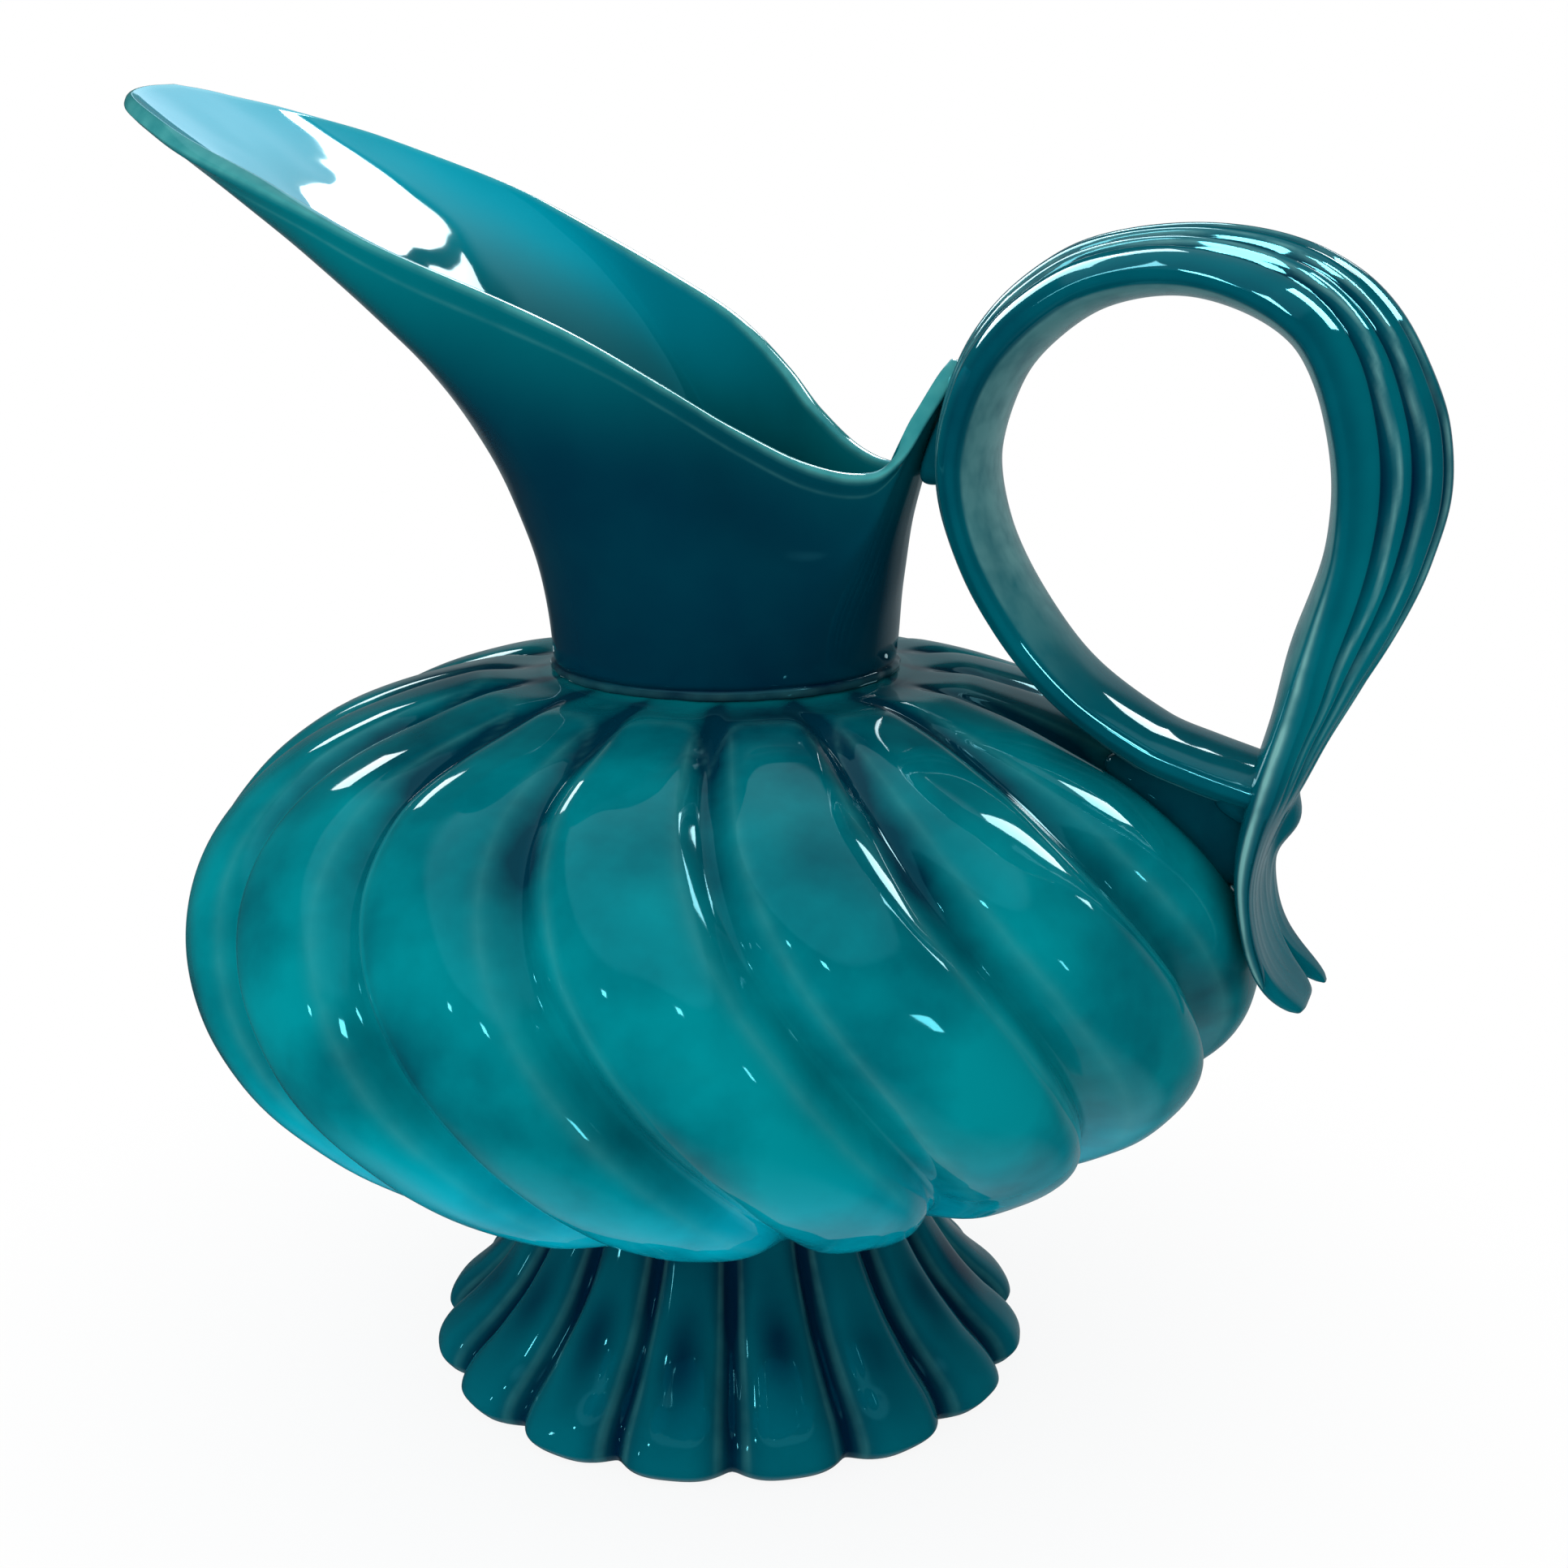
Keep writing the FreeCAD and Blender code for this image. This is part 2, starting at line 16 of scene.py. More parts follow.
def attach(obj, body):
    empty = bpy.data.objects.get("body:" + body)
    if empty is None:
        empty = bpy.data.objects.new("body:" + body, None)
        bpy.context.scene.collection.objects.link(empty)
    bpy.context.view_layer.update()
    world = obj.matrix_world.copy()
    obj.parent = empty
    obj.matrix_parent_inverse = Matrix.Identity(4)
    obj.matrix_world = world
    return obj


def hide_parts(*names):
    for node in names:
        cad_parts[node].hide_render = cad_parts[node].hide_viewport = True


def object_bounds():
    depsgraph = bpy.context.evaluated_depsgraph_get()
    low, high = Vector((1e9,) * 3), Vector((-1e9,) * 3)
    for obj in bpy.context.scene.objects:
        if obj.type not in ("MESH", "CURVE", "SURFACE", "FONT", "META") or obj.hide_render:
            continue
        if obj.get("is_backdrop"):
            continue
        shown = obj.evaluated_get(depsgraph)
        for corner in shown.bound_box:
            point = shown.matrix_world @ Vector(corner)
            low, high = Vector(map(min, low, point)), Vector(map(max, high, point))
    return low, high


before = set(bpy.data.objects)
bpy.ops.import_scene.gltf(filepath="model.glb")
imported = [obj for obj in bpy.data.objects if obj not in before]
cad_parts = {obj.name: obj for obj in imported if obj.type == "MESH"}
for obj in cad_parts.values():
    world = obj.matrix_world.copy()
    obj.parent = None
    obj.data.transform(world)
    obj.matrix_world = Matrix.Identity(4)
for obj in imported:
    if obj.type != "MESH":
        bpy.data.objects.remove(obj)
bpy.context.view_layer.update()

# %% [markdown]
# ## Units and small helpers
# The sizes below are millimetres, as on the CAD drawing, and a mesh gets them in metres.
# The origin is the centre of the foot's ring on the table. The spout points along -X and the
# handle stands at +X. Azimuth 0 is -Y and grows towards +X.

# %% Millimetres and smooth steps
METRES = 0.001


def smooth(low, high, value):
    """0 below low, 1 above high, and 3 t^2 - 2 t^3 between them."""
    t = np.clip((value - low) / (high - low), 0, 1)
    return t * t * (3 - 2 * t)


def bump(value, at, width):
    """Bell curve exp(-((value - at) / width)^2)."""
    return np.exp(-((value - at) / width) ** 2)


# %% Curves through short tables
def along(table, place):
    """Curve through rows of (place, value, ...). Between two rows it is a cubic whose slope
    at a row is that of the line through the row's two neighbours."""
    rows = np.array(table, float)
    at, values = rows[:, 0], rows[:, 1:]
    after = np.minimum(np.arange(len(at)) + 1, len(at) - 1)
    before = np.maximum(np.arange(len(at)) - 1, 0)
    slope = (values[after] - values[before]) / (at[after] - at[before])[:, None]
    place = np.clip(place, at[0], at[-1])
    i = np.clip(np.searchsorted(at, place, side="right") - 1, 0, len(at) - 2)
    span = (at[i + 1] - at[i])[..., None]
    t = ((place - at[i]) / (at[i + 1] - at[i]))[..., None]
    curve = ((2 * t**3 - 3 * t**2 + 1) * values[i] + (t**3 - 2 * t**2 + t) * slope[i] * span
             + (3 * t**2 - 2 * t**3) * values[i + 1] + (t**3 - t**2) * slope[i + 1] * span)
    return curve[..., 0] if values.shape[1] == 1 else curve


peak = [(0, 0), (1, 1), (2, 0)]
print("a table of three rows, half way down from its peak, gives", along(peak, np.array([1.5])))


# %% Points round the axis
def around(radius, azimuth, height):
    """(r sin a, -r cos a, h): a point at a radius, an azimuth in degrees and a height."""
    turn = np.radians(azimuth)
    return np.stack(np.broadcast_arrays(radius * np.sin(turn), -radius * np.cos(turn), height),
                    axis=-1)


def directions(points):
    """Unit normals of a grid: the cross product of its two central differences."""
    down = np.gradient(points, axis=0)
    left = (np.roll(points, -1, axis=1) - np.roll(points, 1, axis=1)) / 2
    normal = np.cross(down, left)
    return normal / np.maximum(np.linalg.norm(normal, axis=-1, keepdims=True), 1e-9)


def away_from_axis(normals, points):
    """1 where the normals of a grid's middle row point away from the Z axis, and -1 where
    they point to it."""
    row = len(points) // 2
    return np.sign(np.sum(normals[row, :, :2] * points[row, :, :2]))


# %% [markdown]
# ## A grid becomes a mesh
# Every piece of the pot is a grid of points: rows along it and columns round it. The columns
# close on themselves. The rows either close as well, like the tube of a ring, or end in a
# point or in a flat cap. The signed volume says whether the faces look outwards, and they are
# turned over if it is negative. Values that change over the surface, such as how thick the
# glaze lies, are kept as attributes of the points, where the materials read them.

# %% Faces of a grid
def grid_faces(rows, columns, rows_close):
    """Quads between each row and the next, and each column and the next one round."""
    count = rows if rows_close else rows - 1
    r, c = np.meshgrid(np.arange(count), np.arange(columns), indexing="ij")
    r_next, c_next = (r + 1) % rows, (c + 1) % columns
    quads = [r * columns + c, r * columns + c_next, r_next * columns + c_next,
             r_next * columns + c]
    return np.stack(quads, axis=-1).reshape(-1, 4)


def cap_faces(first, columns, flip):
    """A cap for a flat ring of an even number of points: point k is joined to its mirror
    image, point columns - k."""
    k = np.arange(1, columns // 2 - 1)
    quads = np.stack([first + k, first + k + 1, first + columns - k - 1, first + columns - k], 1)
    half = columns // 2
    ends = np.array([[first, first + 1, first + columns - 1],
                     [first + half - 1, first + half, first + half + 1]])
    return (quads[:, ::-1], ends[:, ::-1]) if flip else (quads, ends)


def signed_volume(points, faces):
    """Sum over the faces, cut into triangles, of the tetrahedra they make with the origin."""
    total = 0.0
    for face in faces:
        for k in range(1, face.shape[1] - 1):
            a, b, c = points[face[:, 0]], points[face[:, k]], points[face[:, k + 1]]
            total += np.einsum("ij,ij->", a, np.cross(b, c)) / 6
    return total


# %% One mesh object from points and faces
def make_piece(name, nodes, points, faces, values):
    """Mesh object on body root that stands for the named CAD nodes."""
    points = points.reshape(-1, 3)
    if signed_volume(points, faces) < 0:
        faces = [face[:, ::-1] for face in faces]
    corners = np.concatenate([face.ravel() for face in faces])
    sizes = np.concatenate([np.full(len(face), face.shape[1]) for face in faces])
    mesh = bpy.data.meshes.new(name)
    mesh.vertices.add(len(points))
    mesh.vertices.foreach_set("co", (points * METRES).ravel())
    mesh.loops.add(len(corners))
    mesh.loops.foreach_set("vertex_index", corners)
    mesh.polygons.add(len(sizes))
    mesh.polygons.foreach_set("loop_start", np.concatenate([[0], np.cumsum(sizes)[:-1]]))
    mesh.update(calc_edges=True)
    for key, value in values.items():
        attribute = mesh.attributes.new(key, "FLOAT", "POINT")
        attribute.data.foreach_set("value", np.asarray(value, np.float32).ravel())
    mesh.shade_smooth()
    piece = bpy.data.objects.new(name, mesh)
    bpy.context.scene.collection.objects.link(piece)
    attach(piece, "root")
    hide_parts(*nodes)
    low, high = points.min(0), points.max(0)
    print(name, len(points), "points,", int((sizes - 2).sum()), "triangles, from",
          low.round(1), "to", high.round(1), "mm")
    return piece


# %% [markdown]
# ## The hand of the potter
# A pot that is pressed and thrown by hand is never quite even, and the glaze on it runs and
# settles in soft waves. A window's reflection shows this at once. A few waves of different
# length and direction, added up, move each surface by a few hundredths of a millimetre to a
# few tenths. Real displacement was chosen over bump, because it shows in the outline too.

# %% Soft waves
WAVE_COUNT = 8
WAVE_SPREAD = (0.7, 1.4)
LONG_WAVE, SHORT_WAVE = (55, 0.22), (17, 0.045)


def waves(points, length, amount, seed):
    """Sum of eight sine waves across space, each with its own direction and phase."""
    draw = np.random.default_rng(seed)
    total = np.zeros(points.shape[:-1])
    for _ in range(WAVE_COUNT):
        heading = draw.normal(size=3)
        heading /= np.linalg.norm(heading)
        pitch = length * draw.uniform(*WAVE_SPREAD)
        total += np.sin(points @ heading * (2 * np.pi / pitch) + draw.uniform(0, 2 * np.pi))
    return total * amount / 2


def hand_made(points, outward):
    """The points moved along outward by a long soft wave and a short faint one."""
    lift = waves(points, *LONG_WAVE, seed=3) + waves(points, *SHORT_WAVE, seed=8)
    return points + outward * lift[..., None]


moved = waves(np.eye(3) * 50, *LONG_WAVE, seed=3)
print("the long wave moves three points by", moved.round(3), "mm")


# %% [markdown]
# ## Flutes
# Foot and belly are pressed in a fluted mould. One flute is a lobe with a flat-topped section,
# 1 - |u|^3.2 from groove to groove, and the glaze runs into the groove and rounds its
# bottom. The rounding is a small hyperbola in the distance from the groove.

# %% Section of a lobe
LOBES = 16
LOBE_COLUMNS = 30
LOBE_ROUNDNESS = 3.2
GROOVE_ROUNDING = 0.10


def lobe_height(across):
    """0 in the groove at across 0 and 1, and 1 on the crest between them."""
    from_groove = 1 - np.abs(2 * across - 1)
    rounded = np.sqrt(from_groove**2 + GROOVE_ROUNDING**2) - GROOVE_ROUNDING
    rounded = rounded / (math.sqrt(1 + GROOVE_ROUNDING**2) - GROOVE_ROUNDING)
    return 1 - (1 - rounded) ** LOBE_ROUNDNESS


print("lobe height in the groove, at a quarter and on the crest",
      lobe_height(np.array([0, 0.25, 0.5])).round(3))

# %% Places round the lobes
places = np.arange(LOBES * LOBE_COLUMNS) / LOBE_COLUMNS
on_lobe = places % 1
print(len(places), "columns go round the", LOBES, "lobes")


def beside_groove(distance):
    """Two narrow bell curves on each lobe, at that distance from the groove on either side."""
    return bump(on_lobe, distance, 0.03) + bump(on_lobe, 1 - distance, 0.03)


# %% [markdown]
# ## The foot
# The foot is a hollow fluted bell. It could be a profile spun round the axis with a modifier
# for the flutes, but here both are one formula: the crest's radius from a table of heights,
# less the flute's depth. The lobes tuck in a little where they meet the table. The glaze
# pools in the grooves and in an uneven dark patch half way up each lobe, and the top of the
# foot, under the belly, is darkened with painted shade.

# %% Sizes of the foot
FOOT_HEIGHT = 44.6
FOOT_RIM_RADIUS = 68.4
FOOT_LOBE_DEPTH = 5.0
FOOT_WALL = 5.0
FOOT_PROFILE = [(0.0, 0.955), (0.02, 0.978), (0.07, 1.0), (0.17, 0.968), (0.31, 0.872),
                (0.49, 0.766), (0.71, 0.672), (0.88, 0.612), (1.0, 0.59)]
FOOT_DEPTH = [(0.0, 0.75), (0.07, 1.0), (0.2, 1.1), (0.6, 0.95), (0.86, 0.6), (1.0, 0.35)]
FOOT_ROWS, FOOT_INNER_ROWS = 110, 24


def foot_outside(station, across):
    """Crest radius less the flute's depth, at a share of the foot's height."""
    crest = FOOT_RIM_RADIUS * along(FOOT_PROFILE, station)
    depth = FOOT_LOBE_DEPTH * along(FOOT_DEPTH, station)
    radius = crest - depth * (1 - lobe_height(across % 1))
    return around(radius, across * 360 / LOBES, station * FOOT_HEIGHT)


def foot_inside(station, across):
    """Plain bell a wall's thickness inside the grooves."""
    crest = FOOT_RIM_RADIUS * along(FOOT_PROFILE, station)
    radius = crest - FOOT_LOBE_DEPTH - FOOT_WALL + 0 * across
    return around(radius, across * 360 / LOBES, station * FOOT_HEIGHT)


# %% The foot's mesh
outside_stations = np.linspace(0, 1, FOOT_ROWS)[:, None]
inside_stations = np.linspace(1, 0, FOOT_INNER_ROWS)[:, None]
outer = foot_outside(outside_stations, places[None])
foot_normals = directions(outer)
outer = hand_made(outer, foot_normals * away_from_axis(foot_normals, outer))
outer[..., 2] = np.clip(outer[..., 2], 0, FOOT_HEIGHT)
foot_points = np.concatenate([outer, foot_inside(inside_stations, places[None])])
print("rows and columns of the foot", foot_points.shape[:2])

# %% The glaze's thickness on the foot, and painted shade under the belly
pool_and_shade = np.zeros(foot_points.shape[:2])
thin = np.zeros_like(pool_and_shade)
uneven = np.sin(np.floor(places) * 2.3)
blotch = bump(outside_stations, 0.47 + 0.06 * uneven, 0.18) * bump(on_lobe, 0.5, 0.26)
blotch = blotch * (0.75 + 0.25 * np.sin(np.floor(places) * 1.7 + 1))
in_grooves = np.maximum(1 - lobe_height(on_lobe), 0.95 * blotch)
# painted shade: darker towards the top of the foot, under the belly; the grooves and blotches are
# pooled glaze
pool_and_shade[:FOOT_ROWS] = in_grooves + 0.45 * smooth(0.45, 0.95, outside_stations)
thin[:FOOT_ROWS] = 0.6 * beside_groove(0.12)
foot = make_piece("foot", ["pedestal_foot"], foot_points,
                  [grid_faces(*foot_points.shape[:2], True)], {"pool_and_shade": pool_and_shade, "thin": thin})

# %% [markdown]
# ## The belly
# The belly is pressed in two halves that are glued with slip at the widest place, and the
# glaze hides that seam, so the pot shows one skin. It could be one lobe repeated round the
# axis, but here it is one formula. A flattened ball is the base: a reach by the angle above
# the widest place, squashed in height. The flutes run straight over the shoulder and swing
# round on their way down, which is a turn of the azimuth by that angle. At both ends each
# lobe closes in a round arch.

# %% Sizes of the belly
BELLY_RADIUS = 117.5
BELLY_HALF_HEIGHT = 61.8
BELLY_LOBE_DEPTH = 10.0
BELLY_WALL = 5.0
FLOOR_ANGLE, MOUTH_ANGLE = -68.5, 68.0
SQUASH = BELLY_HALF_HEIGHT / BELLY_RADIUS
BELLY_CREST = [(-68.5, 1.03), (-55, 1.025), (-35, 1.012), (0, 1.0), (38, 1.0), (50, 0.982),
               (58, 0.968), (64, 0.957), (68, 0.945)]
BELLY_DEPTH = [(-68.5, 0.30), (-62, 0.42), (-50, 0.68), (-25, 0.94), (0, 1.0), (20, 0.88),
               (38, 0.70), (52, 0.50), (61, 0.38), (68, 0.32)]
BELLY_ROWS, BELLY_INNER_ROWS = 140, 34
SLIP = 1.2
BELLY_FLOOR = FOOT_HEIGHT + SLIP
FLOOR_DROP = BELLY_HALF_HEIGHT * BELLY_CREST[0][1] * math.sin(math.radians(-FLOOR_ANGLE))
MOUTH_RISE = BELLY_HALF_HEIGHT * BELLY_CREST[-1][1] * math.sin(math.radians(MOUTH_ANGLE))
BELLY_CENTRE = BELLY_FLOOR + FLOOR_DROP + SLIP / 2
BELLY_TOP = BELLY_FLOOR + FLOOR_DROP + SLIP + MOUTH_RISE
MOUTH_RADIUS, MOUTH_BEVEL = 31.0, 4
FLOOR_DISC_RADIUS = 12.0
print("the belly stands from", round(BELLY_FLOOR, 1), "to", round(BELLY_TOP, 1), "mm")

# %% The belly's skin
FLUTE_SWING, FLUTE_START = 38, -3


def flute_turn(angle):
    """Degrees that a flute has swung round: a smooth step from the shoulder down."""
    return FLUTE_SWING * smooth(-50, 75, -angle) + FLUTE_START


def belly_skin(angle, across, inset):
    """Squashed ball of crest radius less the flute's depth, a wall's inset inside. Near the
    neck the lobes turn flat-topped, and at both ends they fade into a round arch."""
    flat_topped = 1 - smooth(0.55, 1.0, np.abs(2 * (across % 1) - 1))
    near_neck = 0.35 * smooth(34, 58, angle)
    lobe = lobe_height(across % 1) * (1 - near_neck) + flat_topped * near_neck
    lobe = lobe * (1 - smooth(61, 67.5, angle) - smooth(44, 67, -angle))
    reach = BELLY_RADIUS * along(BELLY_CREST, angle)
    reach = reach - BELLY_LOBE_DEPTH * along(BELLY_DEPTH, angle) * (1 - lobe)
    radius = (reach - inset) * np.cos(np.radians(angle))
    middle = BELLY_CENTRE + SLIP / 2 * smooth(-12, 12, angle) - SLIP / 2 * smooth(-12, 12, -angle)
    height = middle + (reach * SQUASH - inset) * np.sin(np.radians(angle))
    return around(radius, across * 360 / LOBES + flute_turn(angle), height)


# %% The belly's points
BUNCHING = 0.045
ease = np.linspace(0, 1, BELLY_ROWS)[:, None]
denser = ease - BUNCHING * np.sin(4 * np.pi * ease)
skin_angles = FLOOR_ANGLE + (MOUTH_ANGLE - FLOOR_ANGLE) * denser
wall_angles = np.linspace(MOUTH_ANGLE, FLOOR_ANGLE, BELLY_INNER_ROWS)[:, None]
outer = belly_skin(skin_angles, places[None], 0)
belly_normals = directions(outer)
outer = hand_made(outer, belly_normals * away_from_axis(belly_normals, outer))
inner = belly_skin(wall_angles, places[None], BELLY_WALL)
ring_turns = places * 360 / LOBES
mouth_rings = [around(radius, ring_turns, BELLY_TOP - drop)
               for radius, drop in ((MOUTH_RADIUS + MOUTH_BEVEL, 0.3), (MOUTH_RADIUS, 0.6),
                                    (MOUTH_RADIUS, BELLY_WALL))]
floor_rings = [around(FLOOR_DISC_RADIUS, ring_turns, BELLY_FLOOR + rise)
               for rise in (BELLY_WALL, 0)]
belly_points = np.concatenate([outer, np.stack(mouth_rings), inner, np.stack(floor_rings)])
print("rows and columns of the belly", belly_points.shape[:2])

# %% The glaze's thickness on the belly, with painted shade and painted bounce light
in_groove = (1 - lobe_height(on_lobe)) ** 1.5
# painted shade: a darker band down one side of each lobe
shaded = bump(on_lobe, 0.24, 0.16) * (0.6 + 0.4 * np.sin(np.floor(places) * 2.1))
pool_and_shade = np.zeros(belly_points.shape[:2])
thin = np.zeros_like(pool_and_shade)
low = np.zeros_like(pool_and_shade)
pool_and_shade[:BELLY_ROWS] = (
    # painted shade: darker over the upper half and the shoulder, partly the glaze's own deeper
    # tone near the neck
    0.22 * smooth(-45, 0, skin_angles) + 0.40 * smooth(22, 62, skin_angles)
    + in_groove * (0.10 + 0.60 * smooth(-10, 50, skin_angles))
    # painted shade down one side of each lobe
    + 0.26 * shaded * smooth(-48, -12, skin_angles) * (1 - smooth(22, 44, skin_angles))
    # painted shade: darker under the belly, by the foot
    + 0.55 * smooth(55, 66, -skin_angles))
# painted light: the lower belly turns a brighter blue, as if lit by bounce from the table, less
# so under the belly
low[:BELLY_ROWS] = smooth(5, 42, -skin_angles) * (1 - 0.75 * smooth(50, 65, -skin_angles))
fading = (0.25 + 0.15 * smooth(35, 60, skin_angles)) * (1 - smooth(56, 63, skin_angles))
arch = bump(skin_angles + 9 * np.abs(2 * on_lobe - 1) ** 4, 62.5, 0.9)
thin[:BELLY_ROWS] = np.maximum(beside_groove(0.165) * fading, 0.22 * arch)
print("glaze on the belly: pools up to", pool_and_shade.max().round(2), "and thins by", thin.max().round(2))

# %% The belly's mesh, with its floor closed by two discs
columns = len(places)
first_pole, last_ring = len(belly_points) * columns, (len(belly_points) - 1) * columns
k = np.arange(columns)
inner_disc = np.stack([last_ring - columns + k, last_ring - columns + (k + 1) % columns,
                       np.full(columns, first_pole)], 1)
outer_disc = np.stack([last_ring + (k + 1) % columns, last_ring + k,
                       np.full(columns, first_pole + 1)], 1)
quads = grid_faces(len(belly_points), columns, True)
quads = quads[(quads[:, 0] < last_ring - columns) | (quads[:, 0] >= last_ring)]
poles = np.array([[0, 0, BELLY_FLOOR + BELLY_WALL], [0, 0, BELLY_FLOOR]])
belly = make_piece(
    "belly", ["belly_lower_half", "belly_seam_slip", "belly_upper_half"],
    np.concatenate([belly_points.reshape(-1, 3), poles]), [quads, inner_disc, outer_disc],
    {"pool_and_shade": np.append(pool_and_shade.ravel(), [0, 0]), "thin": np.append(thin.ravel(), [0, 0]),
     "low": np.append(low.ravel(), [1, 1])})

# %% [markdown]
# ## Neck and spout
# The neck is thrown round and drawn out into a leaf-shaped spout, with a tongue that rises at
# the back to the handle. A sculpted mesh could follow it, but a family of curves is easier to
# steer: each one leaves the round foot of the neck upwards and meets the lip along its own
# direction of sweep. The lip's edge itself is a table. The wall inside is the same sheet
# moved in by its thickness, and the edge between them is rolled.

# %% Sizes of the neck
NECK_FOOT = BELLY_TOP + SLIP
NECK_RADIUS = 36.9
NECK_WALL, LIP_WALL = 4.5, 2.9
SPOUT_REACH, SPOUT_HALF_WIDTH, SPOUT_RISE = 133.7, 54.0, 117.4
TONGUE_REACH = 51.62
# turn from the tip, then shares of the spout's reach, the tongue's reach, half width and rise
LIP_EDGE = [
    (0, 1.0, 0.0, 0.0, 1.0), (5, 0.983, 0.0, 0.259, 0.990), (12, 0.926, 0.0, 0.537, 0.967),
    (22, 0.812, 0.0, 0.759, 0.926), (34, 0.677, 0.0, 0.907, 0.872),
    (47, 0.526, 0.0, 1.0, 0.809), (60, 0.376, 0.0, 0.991, 0.733),
    (73, 0.225, 0.0, 0.889, 0.657), (85, 0.119, 0.056, 0.778, 0.585),
    (98, 0.030, 0.115, 0.620, 0.500), (110, 0.0, 0.251, 0.463, 0.428),
    (124, 0.0, 0.490, 0.325, 0.365), (140, 0.0, 0.705, 0.225, 0.347),
    (152, 0.0, 0.822, 0.180, 0.384), (162, 0.0, 0.902, 0.137, 0.450),
    (171, 0.0, 0.970, 0.076, 0.506), (180, 0.0, 1.0, 0.0, 0.532)]
print("before it is rounded, the spout's tip is", round(NECK_FOOT + SPOUT_RISE, 1), "mm high")

# %% The neck's family of curves
START_LEAN = 2.4
RISE_AT_BACK, RISE_AT_FRONT = 30, 50
SWEEP_FRONT, SWEEP_BACK, SWEEP_SIDE = [-0.86, 0, 0.5], [0.42, 0, 0.9], [-0.15, 0.08, 0.95]
PULL_FRONT, PULL_SIDE, PULL_BACK = 62, 25, 20


def neck_outside(share, turn):
    """Cubic curve from the neck's round foot to the lip's edge, for a share of the way and
    a turn in degrees round the neck from the spout's tip."""
    share, turn = np.broadcast_arrays(share, turn)
    swing = np.radians(turn)
    outward = np.stack([-np.cos(swing), -np.sin(swing), 0 * swing], -1)
    start = outward * NECK_RADIUS + [0, 0, NECK_FOOT]
    rise = RISE_AT_BACK + (RISE_AT_FRONT - RISE_AT_BACK) * (1 + np.cos(swing)) / 2
    first = start + outward * START_LEAN + rise[..., None] * [0, 0, 1]
    front = np.maximum(np.cos(swing), 0) ** 1.2
    back = np.maximum(-np.cos(swing), 0) ** 1.5
    side = np.maximum(1 - front - back, 0)
    across = np.where(turn > 0, -1.0, 1.0)
    sideways = np.stack([1 + 0 * across, across, 1 + 0 * across], -1) * SWEEP_SIDE
    sweep = (front[..., None] * SWEEP_FRONT + back[..., None] * SWEEP_BACK
             + side[..., None] * sideways)
    sweep = sweep / np.linalg.norm(sweep, axis=-1, keepdims=True)
    edge = along(LIP_EDGE, np.abs(turn))
    end = np.stack([edge[..., 1] * TONGUE_REACH - edge[..., 0] * SPOUT_REACH,
                    across * edge[..., 2] * SPOUT_HALF_WIDTH,
                    NECK_FOOT + edge[..., 3] * SPOUT_RISE], -1)
    length = PULL_FRONT * front + PULL_SIDE * side + PULL_BACK * back
    second = end - sweep * length[..., None]
    t = share[..., None]
    return (start * (1 - t) ** 3 + first * 3 * (1 - t) ** 2 * t
            + second * 3 * (1 - t) * t**2 + end * t**3)


# %% The neck's two walls
NECK_ROWS, NECK_COLUMNS = 100, 288
LIP_FLARE = 0.55
neck_turns = (np.arange(NECK_COLUMNS) * 360 / NECK_COLUMNS - 180)[None]
rising = np.linspace(0, 1, NECK_ROWS)[:, None]
sheet = neck_outside(rising, neck_turns)
inward = directions(sheet)
inward = -inward * away_from_axis(inward, sheet)
sheet = hand_made(sheet, -inward)
wall = NECK_WALL + (LIP_WALL - NECK_WALL) * rising
lining = sheet + inward * wall[..., None]
lining[0, :, 2] = NECK_FOOT
flare = LIP_FLARE * bump(rising, 0.985, 0.02)
sheet = sheet - inward * flare[..., None]
print("the neck's wall thins from", wall[0, 0], "to", wall[-1, 0], "mm")

# %% The rolled edge of the lip
ROLL_ROWS = 9
ROLL_HEIGHT = 1.0
upward = sheet[-1] - sheet[-3]
upward = upward / np.linalg.norm(upward, axis=-1, keepdims=True)
middle, half = (sheet[-1] + lining[-1]) / 2, (sheet[-1] - lining[-1]) / 2
roll = np.radians(np.linspace(0, 180, ROLL_ROWS + 2)[1:-1])[:, None, None]
rolled = middle + half * np.cos(roll) + upward * np.sin(roll) * ROLL_HEIGHT
neck_points = np.concatenate([sheet, rolled, lining[::-1]])
print("rows and columns of the neck", neck_points.shape[:2])

# %% The glaze's thickness on the neck, and painted light inside the spout
rolled_rows = slice(NECK_ROWS, NECK_ROWS + ROLL_ROWS)
lining_rows = slice(NECK_ROWS + ROLL_ROWS, None)
pool_and_shade = np.zeros(neck_points.shape[:2])
thin = np.zeros_like(pool_and_shade)
low = np.zeros_like(pool_and_shade)
front = (1 + np.cos(np.radians(neck_turns))) / 2
near_lip = smooth(0.985, 1.0, rising)
pool_and_shade[:NECK_ROWS] = 0.90 - 0.76 * smooth(184, 230, sheet[..., 2] - 32 * front)
pool_and_shade[lining_rows] = 0.9 - 0.75 * smooth(0.15, 0.85, rising[::-1])
thin[:NECK_ROWS] = 0.25 * bump(rising, 0.94, 0.006) + near_lip
thin[rolled_rows] = 1
thin[lining_rows] = near_lip[::-1]
# painted light: inside the spout, towards the tip and the lip, a brighter blue as if reflecting
# the sky
low[lining_rows] = (smooth(0.5, 0.95, rising) * smooth(0.3, 0.9, front))[::-1]
neck = make_piece("neck_and_spout", ["neck_with_spout"], neck_points,
                  [grid_faces(*neck_points.shape[:2], True)],
                  {"pool_and_shade": pool_and_shade, "thin": thin, "low": low})

